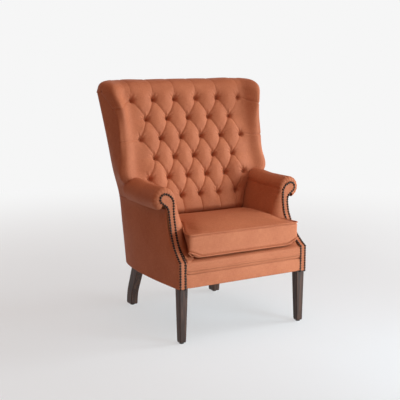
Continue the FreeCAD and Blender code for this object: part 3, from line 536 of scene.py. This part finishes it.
def inside_back():
    """The sheet: the net's spline surface, raised by the stuffing along its normals."""
    columns = np.linspace(-NET_COLUMNS[-1], NET_COLUMNS[-1], SHEET_COUNT)
    heights = np.linspace(NET_ROWS[0], NET_ROWS[-1], SHEET_COUNT)
    net = back_net()
    half = spline(NET_COLUMNS, net.transpose(1, 0, 2), np.abs(columns))
    half[columns < 0, :, 0] *= -1
    points = spline(NET_ROWS, half.transpose(1, 0, 2), heights)
    column, height = np.meshgrid(columns, heights)
    outward = normals(points)
    return points, points + outward * tuft_height(column, height)[..., None], outward, columns, heights


base_sheet, back_sheet, back_normals, back_columns, back_heights = inside_back()
upholster(grid_piece("tufted_back", back_sheet), "inside_back", "top_roll", "wing_pad_left", "wing_pad_right",
          fill=0.8)


def buttons():
    """Covered buttons: low domes turned about the sheet's normal at each button."""
    rows, columns = np.array(button_places()).T
    place = np.searchsorted(back_heights, ROW_ONE + rows * ROW_RISE), np.searchsorted(back_columns, columns)
    out = back_normals[place]
    side = np.cross([0, 0, 1.0], out)
    side /= np.linalg.norm(side, axis=1, keepdims=True)
    return domes(base_sheet[place], out, side, np.cross(out, side), BUTTON_HEAD - [0, BUTTON_SINK], 14)


button_points, button_faces, button_uv = buttons()
upholster(put_mesh("covered_buttons", button_points, button_faces[:, ::-1], button_uv), "back_buttons")


# Arms: the roll and the inside face, drawn in at the front to the facing

NECK_IN = 288.5
NECK_OUT = 312.0
HOOK_X, HOOK_Z, HOOK_R = 334.5, 588.0, 46.0
TIP_X, TIP_Z, TIP_R = 330.5, 612.0, 22.0
ROW_IN, ROW_OUT = 302.5, 326.0
MARGIN = 5.5
ARM_LOW, ARM_REAR = 352.0, 176.0
INNER_Z = [ARM_LOW, 420, 470, 540, 580, ROLL_Z]
INNER_X = [226, 227, 230, 252, 267, ROLL_X - ROLL_R]
GATHER = 2.0
LEAN_TOP = SWEEP_FOOT + (SWEEP_Z - SWEEP_FOOT) * 0.65


def facing_inner(z, margin):
    """The facing's inner edge at a height below the hook: upright, then leaning to the neck."""
    return np.interp(z, [SWEEP_FOOT, LEAN_TOP], [ROW_IN, NECK_IN]) - margin


def facing_outer(z, margin):
    """The facing's outer edge at a height below the scroll."""
    return np.interp(z, [SWEEP_FOOT, LEAN_TOP], [ROW_OUT, NECK_OUT]) + margin


def arm_profile():
    """The arm in front view, from the outer seam over the roll and down inside, and the facing's edge.

    Beside the roll, the edge lies where a ray from the roll's middle leaves the scroll's tip or hook.
    """
    middle = np.array([ROLL_X, ROLL_Z])
    ray = circle(0, 0, 1, -62, 180, 61)
    roll = middle + ROLL_R * ray
    tip_side = ray[:, :1] > 0
    centre = np.where(tip_side, [[TIP_X, TIP_Z]], [[HOOK_X, HOOK_Z]]) - middle
    radius = np.where(tip_side[:, 0], TIP_R, HOOK_R) + MARGIN
    along = (ray * centre).sum(axis=1)
    reach = along + np.sqrt(np.maximum(radius ** 2 - (centre ** 2).sum(axis=1) + along ** 2, 1))
    edge = middle + ray * reach[:, None]
    z = np.linspace(ROLL_Z, ARM_LOW, 62)[1:]
    inner = np.stack([spline(INNER_Z, INNER_X, z), z], axis=1)
    inner_edge = np.stack([np.minimum(facing_inner(z, MARGIN), ROLL_X - ROLL_R + 14), z], axis=1)
    return np.concatenate([roll, inner]), np.concatenate([edge, inner_edge])


def arm_points():
    """The profile carried back; near the front it closes on the facing along a quarter ellipse.

    The rear draws in behind the wing, and small gathers fan out behind the facing.
    """
    full, edge = arm_profile()
    gap = np.linalg.norm(full - edge, axis=1)
    deep = np.clip(gap * 1.05, 9, 62)
    front = front_depth(edge[:, 1])
    rows = []
    for angle in np.linspace(0, math.pi / 2, 15):
        flat = edge + (full - edge) * math.sin(angle)
        rows.append(np.stack([flat[:, 0], front + 2 + deep * (1 - math.cos(angle)), flat[:, 1]], axis=1))
    start = rows[-1][:, 1]
    for share in np.linspace(0, 1, 70)[1:]:
        y = start + (ARM_REAR - start) * share
        lift = 10 * smooth(-60, 80, y) * smooth(ROLL_Z - 90, ROLL_Z + 20, full[:, 1])
        draw = 1 - 0.62 * smooth(WING_FRONT + 10, ARM_REAR, y)
        rows.append(np.stack([ROLL_X + (full[:, 0] - ROLL_X) * draw, y, full[:, 1] + lift], axis=1))
    points = np.array(rows)
    out = -normals(points)
    place = np.arange(len(full))
    gather = np.abs(np.sin(place * 0.62)) - 0.5
    fade = np.exp(-((points[:, :, 1] - front - 9) / 26.0) ** 2)
    on_roll = smooth(2, 8, place) * (1 - smooth(62, 84, place))
    return points + out * (gather * fade * on_roll * GATHER)[..., None]


arm_grid = arm_points()
for word, side in SIDES:
    upholster(side_piece("arm_" + word, arm_grid, side), "arm_pad_" + word, fill=0.85)


# Facings: the scroll panels and the nail rows round them

NAIL_STEP = 11.4
NAIL_HEAD = [(0.4, 3.9), (2.4, 3.6), (4.3, 2.7), (5.5, 1.3), (5.9, -0.5)]


def facing_edges(margin):
    """The facing's inner and outer edge in front view, from the foot to the tip of the scroll."""
    foot_z = np.linspace(UNDERSIDE + 2, LEAN_TOP, 90)
    inner_low = np.stack([facing_inner(foot_z, margin), foot_z], axis=1)
    outer_low = np.stack([facing_outer(foot_z, margin), foot_z], axis=1)
    wide, small = HOOK_R + margin, TIP_R + margin
    inner_high = np.concatenate([
        inner_low[-1:], circle(HOOK_X, HOOK_Z, wide, 180, 95, 40), circle(TIP_X, TIP_Z, small, 88, -65, 40)])
    tip_end = inner_high[-1]
    neck = NECK_OUT + margin
    outer_high = np.concatenate([
        outer_low[-1:], [(neck, HOOK_Z - HOOK_R + 11), (neck + 3, 566.0), (neck + 10, 578.0)], tip_end[None]])
    inner = np.concatenate([inner_low, resample(inner_high, 80)[1:]])
    outer = np.concatenate([outer_low, resample(outer_high, 80)[1:]])
    return inner, outer


def facing_points():
    """Lines across from the inner edge to the outer edge, turned in behind both."""
    inner, outer = facing_edges(MARGIN)
    across = np.concatenate([[0.1, 0], np.linspace(0, 1, 13), [1, 0.9]])
    sunk = np.concatenate([[14, 3], np.zeros(13), [3, 14]])
    flat = inner[:, None, :] + (outer - inner)[:, None, :] * across[None, :, None]
    puff = 0.7 * np.sin(math.pi * across) ** 0.7
    y = front_depth(flat[..., 1]) + sunk[None, :] - puff[None, :]
    return np.stack([flat[..., 0], y, flat[..., 1]], axis=-1)


facing_grid = facing_points()
for word, side in SIDES:
    upholster(side_piece("facing_" + word, facing_grid, side), "arm_facing_" + word)


def nail_rows():
    """Close-set domed nails round the facing, at even steps along both edges."""
    inner, outer = facing_edges(0.0)
    flat = np.concatenate([inner, outer[::-1][1:]])
    path = np.stack([flat[:, 0], front_depth(flat[:, 1]), flat[:, 1]], axis=1)
    length = np.linalg.norm(np.diff(path, axis=0), axis=1).sum()
    centres = resample(path, int(length / NAIL_STEP) + 1)
    rise = front_depth(centres[:, 2] + 1) - front_depth(centres[:, 2] - 1)
    out = np.stack([np.zeros(len(rise)), -np.ones(len(rise)), rise / 2], axis=1)
    out /= np.linalg.norm(out, axis=1, keepdims=True)
    side = np.broadcast_to([1.0, 0, 0], out.shape)
    return domes(centres, out, side, np.cross(side, out), NAIL_HEAD, 12)


nail_points, nail_faces, nail_uv = nail_rows()
for word, side in SIDES:
    turn = -1 if side > 0 else 1
    nails = put_mesh("nails_" + word, mirror(nail_points, side), nail_faces[:, ::turn], nail_uv[:, ::turn])
    dress(nails, bronze, ("facing_nails_" + word,))


# Front border and apron

PANEL_HALF = 296.0


def rounded_run(corners, bend, count):
    """A polyline with its inner corners rounded by quadratic arcs, at even arc length."""
    corners = np.asarray(corners, float)
    parts = [corners[:1]]
    for before, corner, after in zip(corners, corners[1:], corners[2:]):
        first = corner + (before - corner) * min(1, bend / np.linalg.norm(before - corner))
        last = corner + (after - corner) * min(1, bend / np.linalg.norm(after - corner))
        parts.append(bezier([first[None], corner[None], last[None]], 12)[0])
    parts.append(corners[-1:])
    return resample(np.concatenate(parts), count)


def panel_points(profile, swell):
    """A profile in side view carried across the front, drawn in at its ends, with a slow wave along it."""
    x = np.linspace(-PANEL_HALF, PANEL_HALF, 121)
    end = 1 - smooth(0, 22, PANEL_HALF - np.abs(x))
    middle = profile.mean(axis=0)
    flat = middle + (profile[None] - middle) * (1 - 0.06 * end[:, None, None])
    wave = swell * np.sin(x / 63.0 + 0.8)[:, None] * np.exp(-((flat[..., 1] - middle[1]) / 25.0) ** 2)
    return np.stack([np.broadcast_to(x[:, None], flat.shape[:2]), flat[..., 0] + wave, flat[..., 1]], axis=-1)


border_profile = rounded_run([(FRONT + 12, BORDER_LOW), (FRONT + 1, BORDER_LOW - 1),
                              (FRONT - 2, BORDER_LOW + 3), (FRONT - 4, 335),
                              (FRONT - 1, DECK - 2), (FRONT + 34, DECK + 1), (-262, DECK)], 20, 60)
upholster(grid_piece("seat_border", panel_points(border_profile, 0.7), flip=True), "front_border", fill=0.7)
apron_profile = rounded_run([(FRONT + 22, UNDERSIDE + 5), (FRONT + 10, UNDERSIDE), (FRONT - 1, UNDERSIDE + 3),
                             (FRONT - 2, 275), (FRONT - 1, BORDER_LOW - 3), (FRONT + 2, BORDER_LOW + 1),
                             (FRONT + 12, BORDER_LOW + 2)], 5, 50)
upholster(grid_piece("apron", panel_points(apron_profile, 0.4), flip=True), "front_apron")


# Outside panels: level outlines of a side, a rear corner and the back, eased together

SEAM_COLUMN = np.searchsorted(back_columns, 3.67)
SEAM_FOOT = [(342, 92, 560), (369, 100, 590)]
SEAM_FOOT_TOP, SEAM_TOP = 622, 1038
SHELL_Z = [241.0, 358.0, 470.0, 566.0, 654.0, 820.0, 1040.0]
SHELL_MIDDLE = [(344, -40), (344, -20), (344, 0), (345, 40), (379, 150), (384, 165), (411, 227)]
SHELL_START = [(324, 175), (331, 179), (338, 182), (344, 185), (367, 204), (389, 215), (420, 252)]
SHELL_SLOPE = [-0.2, -0.16, -0.11, -0.03, -0.27, 0.0, 0.12]
SHELL_END = [(190, 318), (201, 320), (211, 322), (220, 323), (240, 323), (275, 328), (328, 334)]
SHELL_TOP = 1050.0
ARM_PANEL_TOP, WING_PANEL_LOW = 569.0, 568.0
CORNER_PULL = 0.55
CORNER_SEAM = 0.57
PANEL_HEM, HEM_STEP = 4.0, 3.0


def shell_front(z, wing):
    """The side panels' front edge: behind the wing's edge, or beside the facing below the roll."""
    if not wing:
        return np.stack([np.interp(z, [SWEEP_FOOT, SWEEP_Z], [331, 322]), front_depth(z) + 5], axis=1)
    rows = (back_heights > SEAM_FOOT_TOP) & (back_heights < SEAM_TOP)
    edge = np.concatenate([SEAM_FOOT, base_sheet[rows, SEAM_COLUMN]])
    return np.stack([np.interp(z, edge[:, 2], edge[:, axis]) for axis in (0, 1)], axis=1)


def shell_grid(z, first, last, columns, wing):
    """Points at heights z, from one share of the outline to another.

    Along each outline, the side is a quadratic arc, the rear corner a cubic one and the back straight.
    """
    front = shell_front(z, wing)
    start = spline(SHELL_Z, SHELL_START, z)
    end = spline(SHELL_Z, SHELL_END, z)
    slope = spline(SHELL_Z, np.array(SHELL_SLOPE)[:, None], z)
    lean = np.concatenate([slope, np.ones_like(slope)], axis=1)
    if wing:
        control = start - lean * (start - front)[:, 1:] / 2
    else:
        control = 2 * spline(SHELL_Z, SHELL_MIDDLE, z) - (front + start) / 2
    first_pull = start + CORNER_PULL * lean * (end - start)[:, 1:]
    last_pull = end + CORNER_PULL * (start - end) * np.array([1.0, 0])
    corner = bezier([start, first_pull, last_pull, end], 40)
    back = np.stack(np.broadcast_arrays(end[:, :1] * np.linspace(1, 0, 40), end[:, 1:]), axis=-1)
    line = np.concatenate([bezier([front, control, start], 60), corner[:, 1:], back[:, 1:]], axis=1)
    count = line.shape[1]
    at = np.linspace(first * (count - 1), last * (count - 1), columns)
    place = np.clip(at.astype(int), 0, count - 2)
    part = (at - place)[None, :, None]
    flat = line[:, place] * (1 - part) + line[:, place + 1] * part
    return np.concatenate([flat, np.broadcast_to(z[:, None, None], flat.shape[:2] + (1,))], axis=-1)


def hemmed(points, depth):
    """A panel with its edges turned in, so that it ends in a soft seam."""
    rows, columns = points.shape[:2]
    edge_row = np.minimum(np.arange(rows), np.arange(rows)[::-1])[:, None]
    edge_column = np.minimum(np.arange(columns), np.arange(columns)[::-1])[None, :]
    near = np.minimum(edge_row, edge_column)
    sink = depth * np.where(near == 0, 1.0, np.where(near == 1, 0.3, 0.0))
    return points - normals(points) * sink[..., None]


def edged(low, high, count, hem):
    """Even values between two limits, with two more close to each end for the turned edge."""
    inner = np.linspace(low + hem, high - hem, count)
    return np.concatenate([[low, low + hem * 0.35], inner, [high - hem * 0.35, high]])


PANELS = [("arm", edged(UNDERSIDE, ARM_PANEL_TOP, 70, HEM_STEP), 110, False),
          ("wing", edged(WING_PANEL_LOW, SHELL_TOP, 100, HEM_STEP), 90, True)]
for word, side in SIDES:
    for kind, panel_z, columns, wing in PANELS:
        panel = hemmed(shell_grid(panel_z, 0, CORNER_SEAM, columns, wing), PANEL_HEM)
        node_name = "outside_%s_%s" % (kind, word)
        upholster(side_piece(node_name + "_cloth", panel, side), node_name)
half_back = shell_grid(edged(UNDERSIDE, SHELL_TOP, 120, HEM_STEP), CORNER_SEAM, 1.0, 70, True)
whole_back = np.concatenate([half_back, mirror(half_back, -1)[:, ::-1][:, 1:]], axis=1)
upholster(grid_piece("outside_back_cloth", hemmed(whole_back, PANEL_HEM)), "outside_back")


# Seat deck under the cushion

DECK_HALF, DECK_FRONT, DECK_REAR = 268.0, -255.0, 60.0
DECK_HEM, DECK_SINK, DECK_CROWN = 8.0, 2.5, 1.5


def deck_points():
    """A panel between the arms, crowned by a product of cosines, its edges turned down."""
    across, along = np.meshgrid(edged(-DECK_HALF, DECK_HALF, 40, 6.0), edged(DECK_FRONT, DECK_REAR, 30, 6.0))
    rise = DECK_CROWN * np.cos(across / DECK_HALF * math.pi / 2) * np.cos((along + 112) / 150 * math.pi / 2)
    return hemmed(np.stack([across, along, DECK - DECK_SINK + rise], axis=-1), DECK_HEM)


dress(grid_piece("deck_cloth", deck_points()), lining, ("seat_deck",))


# Seat cushion: a bag that widens in front of the arms, blown up as cloth

CUSHION_FRONT, CUSHION_REAR = -335.0, 22.0
CUSHION_LOW, SEAM_LOW, SEAM_HIGH = 363.0, 375.0, 472.0
CUSHION_PLAN = [(0, CUSHION_FRONT), (292, CUSHION_FRONT), (253, -262), (226, -204), (223, CUSHION_REAR),
                (0, CUSHION_REAR)]
CUSHION_BEND = 26
CUSHION_MIDDLE = np.array([0.0, -230.0])
CUSHION_RISE = 34.0
CROWN_HALF, CROWN_REAR = 272, CUSHION_REAR + 12
CROWN_EASE_SIDE, CROWN_EASE_FRONT, CROWN_EASE_REAR = 125, 190, 90
FLAT_RINGS, SIDE_RINGS = 24, 10
SWELL_REACH = 120
CORNER_RISE = 24.0
SEAM_GROOVE, SEAM_GROOVE_WIDE = 4.4, 6.0
SEAM_PUFF, SEAM_PUFF_REACH, SEAM_PUFF_WIDE = 1.2, 13, 5.0
PIPING_RADIUS, PIPING_SINK = 3.2, 0.6
VOXEL = 0.005
PINNED_REACH = 7
CLOTH_FRAMES, MOST_MOVE = 20, 22.0
CLOTH = {"vertex_group_mass": "seam", "use_pressure": True, "uniform_pressure_force": 3.0, "quality": 4,
         "tension_stiffness": 15, "compression_stiffness": 15, "bending_stiffness": 8}


def cushion_outline(count):
    """The cushion in plan: it widens forward along the arms' noses, and its corners are rounded."""
    half = rounded_run(CUSHION_PLAN, CUSHION_BEND, count)
    return np.concatenate([half, (half * np.array([-1.0, 1.0]))[::-1][1:-1]])


def nearest(points, line):
    """Distance from each point to the nearest of a line's points, worked out in parts to spare memory."""
    return np.concatenate([np.linalg.norm(part[:, None] - line[None], axis=2).min(axis=1)
                           for part in np.array_split(points, 80)])


def crown(x, y):
    """Height of the top over its seam: eased from the sides, the front and the rear, full in the middle."""
    rise = CUSHION_RISE
    eases = ((CROWN_HALF - np.abs(x), CROWN_EASE_SIDE), (y - CUSHION_FRONT, CROWN_EASE_FRONT),
             (CROWN_REAR - y, CROWN_EASE_REAR))
    for reach, full in eases:
        rise = rise * (1 - (1 - np.clip(reach / full, 0, 1)) ** 2)
    return rise


def corner_lift(points):
    """Raise the lower edge towards the two front corners, which are sewn round."""
    near = smooth(215, 291, np.abs(points[..., 0])) * (1 - smooth(CUSHION_FRONT, -262, points[..., 1]))
    share = np.clip((SEAM_HIGH - points[..., 2]) / (SEAM_HIGH - SEAM_LOW), 0, 1)
    return np.dstack([points[..., :2], points[..., 2] + CORNER_RISE * near * share])


def arm_slant(points):
    """Slant the sides in front of the arms as the arms' front edges slant, so that they fit against them."""
    beside = smooth(205, 235, np.abs(points[..., 0])) * smooth(CUSHION_FRONT, -285, points[..., 1])
    beside = beside * (1 - smooth(-190, -120, points[..., 1]))
    shift = front_depth(points[..., 2]) - front_depth(420)
    return np.dstack([points[..., 0], points[..., 1] + beside * shift, points[..., 2]])


def cushion_points():
    """The bag in rings: the bottom, the sides and a crowned top.

    At a distance d from the outline, the bottom swells by 1 - (1 - d / SWELL_REACH)^2 of its depth.
    """
    outline = cushion_outline(120)
    inward = np.linspace(1, 0.02, FLAT_RINGS)
    shares = np.concatenate([inward[::-1], np.ones(SIDE_RINGS), inward])
    plan = CUSHION_MIDDLE + (outline - CUSHION_MIDDLE)[None] * shares[:, None, None]
    height = np.full(plan.shape[:2], SEAM_LOW)
    reach = nearest(plan[:FLAT_RINGS].reshape(-1, 2), outline).reshape(FLAT_RINGS, -1)
    height[:FLAT_RINGS] -= (SEAM_LOW - CUSHION_LOW) * (1 - (1 - np.clip(reach / SWELL_REACH, 0, 1)) ** 2)
    top = FLAT_RINGS + SIDE_RINGS
    height[top:] = SEAM_HIGH + crown(plan[top:, :, 0], plan[top:, :, 1])
    side = np.linspace(0, 1, SIDE_RINGS + 2)[1:-1, None]
    height[FLAT_RINGS:top] = SEAM_LOW + (height[top] - SEAM_LOW) * side
    return arm_slant(corner_lift(np.concatenate([plan, height[..., None]], axis=-1)))


def cushion_mesh():
    """A closed mesh of the bag: its rings joined round, and a fan at each pole."""
    rings = cushion_points()
    rows, columns = rings.shape[:2]
    faces = grid_faces(rows, columns, wrap=True)
    points = np.concatenate([rings.reshape(-1, 3), rings[:1].mean(axis=1), rings[-1:].mean(axis=1)])
    first = np.arange(columns)
    after = np.roll(first, -1)
    low_pole, high_pole = len(points) - 2, len(points) - 1
    last_ring = (rows - 1) * columns
    fan_low = np.stack([np.full(columns, low_pole), after, first], axis=1)
    fan_high = np.stack([np.full(columns, high_pole), last_ring + first, last_ring + after], axis=1)
    return points, faces.tolist() + fan_low.tolist() + fan_high.tolist()


def apply_modifiers(piece):
    """Replace a piece's mesh by the one its modifiers give."""
    bpy.context.view_layer.update()
    shaped = bpy.data.meshes.new_from_object(piece.evaluated_get(bpy.context.evaluated_depsgraph_get()))
    piece.modifiers.clear()
    piece.data = shaped


def mesh_values(items, name, width=1, kind=np.float32):
    """A row of values from each of a mesh's vertices, corners or faces."""
    values = np.empty(len(items) * width, kind)
    items.foreach_get(name, values)
    return values.reshape(-1, width)


def vertex_array(mesh):
    """A mesh's vertices in millimetres."""
    return mesh_values(mesh.vertices, "co", 3).astype(float) / MM


def set_vertices(mesh, points):
    """Move a mesh's vertices to points in millimetres."""
    mesh.vertices.foreach_set("co", (points * MM).astype(np.float32).ravel())
    mesh.update()


def blow_up(piece, pinned):
    """Run cloth with inner pressure and no gravity, and hold each point within a distance of its start."""
    before = vertex_array(piece.data)
    seam = piece.vertex_groups.new(name="seam")
    seam.add(np.flatnonzero(pinned).tolist(), 1.0, "REPLACE")
    cloth = piece.modifiers.new("cloth", "CLOTH")
    for name, value in CLOTH.items():
        setattr(cloth.settings, name, value)
    cloth.settings.effector_weights.gravity = 0
    cloth.point_cache.frame_start = 1
    cloth.point_cache.frame_end = CLOTH_FRAMES
    scene = bpy.context.scene
    for number in range(1, CLOTH_FRAMES + 1):
        scene.frame_set(number)
    apply_modifiers(piece)
    scene.frame_set(1)
    move = vertex_array(piece.data) - before
    length = np.linalg.norm(move, axis=1, keepdims=True)
    set_vertices(piece.data, before + move * np.minimum(1, MOST_MOVE / np.maximum(length, 1e-6)))
    piece.vertex_groups.clear()


def boxing_seam(height):
    """One boxing seam: the outline at its height; the upper one follows the crown."""
    outline = cushion_outline(480)
    level = np.full(len(outline), height)
    if height == SEAM_HIGH:
        level += crown(outline[:, 0], outline[:, 1])
    return arm_slant(corner_lift(np.column_stack([outline, level])[None]))[0]


def piping_points(height):
    """Piping round a boxing seam: circles in the planes across the seam, set a little into the cushion."""
    seam = boxing_seam(height)
    along = np.roll(seam, -1, axis=0) - np.roll(seam, 1, axis=0)
    along /= np.linalg.norm(along, axis=1, keepdims=True)
    out = np.cross(along, [0.0, 0, 1])
    out /= np.linalg.norm(out, axis=1, keepdims=True)
    up = np.cross(out, along)
    turn = np.linspace(0, 2 * math.pi, 11)[:-1]
    circle_points = np.cos(turn)[:, None, None] * out + np.sin(turn)[:, None, None] * up
    return seam - out * PIPING_SINK + circle_points * PIPING_RADIUS


def seam_lines(piece, reaches):
    """Draw the boxing seams in: points that began near a seam move in, those a little off move out."""
    points = vertex_array(piece.data)
    out = mesh_values(piece.data.vertex_normals, "vector", 3).astype(float)
    for reach in reaches:
        points -= out * (SEAM_GROOVE * np.exp(-(reach / SEAM_GROOVE_WIDE) ** 2))[:, None]
        points += out * (SEAM_PUFF * np.exp(-((reach - SEAM_PUFF_REACH) / SEAM_PUFF_WIDE) ** 2))[:, None]
    set_vertices(piece.data, points)


def box_uv(mesh):
    """UV in metres, each face laid flat along the axis that it faces most."""
    points = vertex_array(mesh)[mesh_values(mesh.loops, "vertex_index", kind=np.int32)[:, 0]] * MM
    facing = mesh_values(mesh.polygons, "normal", 3)
    total = mesh_values(mesh.polygons, "loop_total", kind=np.int32)[:, 0]
    axis = np.repeat(np.abs(facing).argmax(axis=1), total)
    first = np.where(axis == 0, points[:, 1], points[:, 0])
    second = np.where(axis == 2, points[:, 1], points[:, 2])
    layer = mesh.uv_layers.new(name="weave")
    layer.data.foreach_set("uv", np.stack([first, second], axis=1).astype(np.float32).ravel())


def seat_cushion():
    """The loose cushion: remeshed evenly, blown up, its seams drawn in, then smoothed once."""
    points, faces = cushion_mesh()
    mesh = bpy.data.meshes.new("seat_cushion_cloth")
    mesh.from_pydata((points * MM).tolist(), [], faces)
    mesh.update()
    piece = bpy.data.objects.new("seat_cushion_cloth", mesh)
    bpy.context.scene.collection.objects.link(piece)
    remesh = piece.modifiers.new("even", "REMESH")
    remesh.mode = "VOXEL"
    remesh.voxel_size = VOXEL
    apply_modifiers(piece)
    before = vertex_array(piece.data)
    reaches = [nearest(before, boxing_seam(height)) for height in (SEAM_LOW, SEAM_HIGH)]
    blow_up(piece, np.minimum(*reaches) < PINNED_REACH)
    seam_lines(piece, reaches)
    points = vertex_array(piece.data)
    points[:, 2] = np.maximum(points[:, 2], DECK + 0.6)
    set_vertices(piece.data, points)
    box_uv(piece.data)
    piece.data.polygons.foreach_set("use_smooth", np.ones(len(piece.data.polygons), bool))
    smoothing = piece.modifiers.new("smooth", "SUBSURF")
    smoothing.levels = 1
    smoothing.render_levels = 1
    return piece


upholster(seat_cushion(), "cushion_cover", "cushion_core", body="seat_cushion", fill=0.75)
for word, height in (("low", SEAM_LOW), ("high", SEAM_HIGH)):
    rings = piping_points(height).transpose(1, 0, 2)
    piping = grid_piece("piping_" + word, np.concatenate([rings, rings[:1]]), flip=True, wrap=True)
    upholster(piping, body="seat_cushion")


# Legs: at each level its height, middle (x, y), width and depth

FRONT_LEG = [(6, 309.5, -310.5, 29, 29), (125, 308.2, -309.2, 34.6, 34.6), (250, 307, -308, 40, 40)]
REAR_LEG = [(6, 237, 314, 36, 50), (60, 237, 307, 36, 51), (130, 237, 278, 36, 57), (250, 237, 227, 36, 64)]
FOOT_SHARE, FOOT_RISE = 0.93, 1.2


def leg_points(levels, power=24.0, turns=64):
    """A leg: rounded-square sections (superellipses) through its levels, closed and eased at the foot."""
    angle = np.linspace(0, 2 * math.pi, turns + 1)[:-1] + math.pi / 4
    unit = np.stack([np.cos(angle), np.sin(angle)], axis=1)
    unit /= (np.abs(unit) ** power).sum(axis=1, keepdims=True) ** (1 / power)
    levels = np.asarray(levels, float)
    z = np.concatenate([[levels[0, 0]], np.linspace(levels[0, 0], levels[-1, 0], 40)])
    section = spline(levels[:, 0], levels[:, 1:], z)[:, None]
    close = np.ones((len(z), 1, 1))
    close[:2, 0, 0] = 0.0, FOOT_SHARE
    z[2] += FOOT_RISE
    plan = section[..., :2] + unit * section[..., 2:] / 2 * close
    return np.concatenate([plan, np.broadcast_to(z[:, None, None], plan.shape[:2] + (1,))], axis=-1)


for word, side in SIDES:
    for kind, levels in (("front", FRONT_LEG), ("rear", REAR_LEG)):
        node_name = "%s_leg_%s" % (kind, word)
        leg = side_piece(node_name + "_turned", leg_points(levels), side, wrap=True)
        dress(leg, walnut, (node_name,))


# Floor, light and camera

FLOOR_HALF, FLOOR_FRONT, FLOOR_REAR, FLOOR_BEND = 9000, -6000, 5000, 2500
PALE = tint(246, 246, 246)
GLOW_NEAR = 0.52


def floor_piece():
    """A wide pale floor that curves up into a backdrop far behind, as one sheet.

    What the camera sees of it is partly its own light: about half near the chair, which keeps a soft shadow,
    and all of it far off, which melts into the sky.
    """
    across = np.linspace(-FLOOR_HALF, FLOOR_HALF, 41)
    run = np.concatenate([np.stack([np.linspace(FLOOR_FRONT, FLOOR_REAR, 40), np.zeros(40)], axis=1),
                          circle(FLOOR_REAR, FLOOR_BEND, FLOOR_BEND, -90, 0, 24)[1:],
                          [(FLOOR_REAR + FLOOR_BEND, FLOOR_HALF)]])
    points = np.stack(np.broadcast_arrays(across[None, :], run[:, :1], run[:, 1:]), axis=-1)
    piece = grid_piece("studio_floor", points)
    shader = Shader("studio_paper")
    place = shader.coordinates()
    paper = shader.blend(shader.noise(place, 0.8, 2.0), 0.3, 0.7, tint(215, 226, 235), tint(219, 230, 239))
    shader.finish(Base_Color=paper, Roughness=0.9, Specular_IOR_Level=0.1)
    reach = shader.value(shader.node("ShaderNodeVectorMath", {"operation": "LENGTH"}, {0: place}), 1)
    far = shader.node("ShaderNodeMapRange", {"interpolation_type": "SMOOTHSTEP"}, {0: reach, 1: 0.8, 2: 4.0})
    pale = shader.node("ShaderNodeEmission", {}, {
        "Color": shader.mix(far.outputs[0], tint(250, 250, 250), PALE), "Strength": 1.0})
    rays = shader.node("ShaderNodeLightPath")
    seen = shader.value(rays, "Is Camera Ray") + shader.value(rays, "Is Glossy Ray")
    seen = (seen + shader.value(rays, "Is Transmission Ray")).least(1.0)
    share = seen * (GLOW_NEAR + (1 - GLOW_NEAR) * shader.value(far))
    mixed = shader.node("ShaderNodeMixShader", {}, {0: share, 1: shader.surface.outputs[0],
                                                    2: pale.outputs[0]})
    shader.feed(shader.tree.nodes["Material Output"].inputs["Surface"], mixed.outputs[0])
    piece.data.materials.append(shader.material)


floor_piece()


def lamp(name, place, aim, size, power, colour, spread=180):
    """A large soft square lamp that looks at a point, in metres; its spread is in degrees."""
    data = bpy.data.lights.new(name, "AREA")
    data.color = colour
    data.size = size
    data.energy = power
    data.spread = math.radians(spread)
    lamp_object = bpy.data.objects.new(name, data)
    bpy.context.scene.collection.objects.link(lamp_object)
    x, y, z = np.array(aim, float) - np.array(place, float)
    yaw = math.atan2(y, x)
    tilt = math.atan2(math.hypot(x, y), -z)
    lamp_object.visible_camera = False
    lamp_object.location = place
    lamp_object.rotation_euler = (tilt, 0, yaw - math.pi / 2)


COOL = (0.96, 1.0, 1.0)
lamp("key", (4.5, -1.5, 1.8), (0, 0, 0.5), 2.0, 165, COOL)
lamp("front", (1.1, -2.2, 0.5), (0, -0.35, 0.15), 0.9, 8, (0.84, 1.0, 1.06), 70)
lamp("top", (0.6, -0.9, 4.2), (0, 0, 0.5), 3.0, 40, COOL)

# The sky lights the chair warmly, and the camera sees it pale
world = bpy.data.worlds.new("studio")
bpy.context.scene.world = world
world.use_nodes = True
sky_tree = world.node_tree
sky = sky_tree.nodes["Background"]
sky.inputs["Color"].default_value = (1.0, 0.54, 0.36, 1)
sky.inputs["Strength"].default_value = 0.36
plain_sky = sky_tree.nodes.new("ShaderNodeBackground")
plain_sky.inputs["Color"].default_value = PALE
sky_rays = sky_tree.nodes.new("ShaderNodeLightPath")
sky_mix = sky_tree.nodes.new("ShaderNodeMixShader")
for place, output in enumerate((sky_rays.outputs["Is Camera Ray"], sky.outputs[0], plain_sky.outputs[0])):
    sky_tree.links.new(output, sky_mix.inputs[place])
sky_tree.links.new(sky_mix.outputs[0], sky_tree.nodes["World Output"].inputs["Surface"])

AZIMUTH, PITCH = math.radians(-30.68), math.radians(9.93)
camera = bpy.data.cameras.new("camera")
camera.sensor_width = 36.0
camera.sensor_fit = "HORIZONTAL"
camera.lens = 76.36
eye = bpy.data.objects.new("camera", camera)
bpy.context.scene.collection.objects.link(eye)
eye.location = (-2.0137, -3.3376, 1.2307)
eye.rotation_euler = (math.pi / 2 - PITCH, 0, AZIMUTH)
bpy.context.scene.camera = eye
bpy.context.scene.view_settings.view_transform = "Standard"
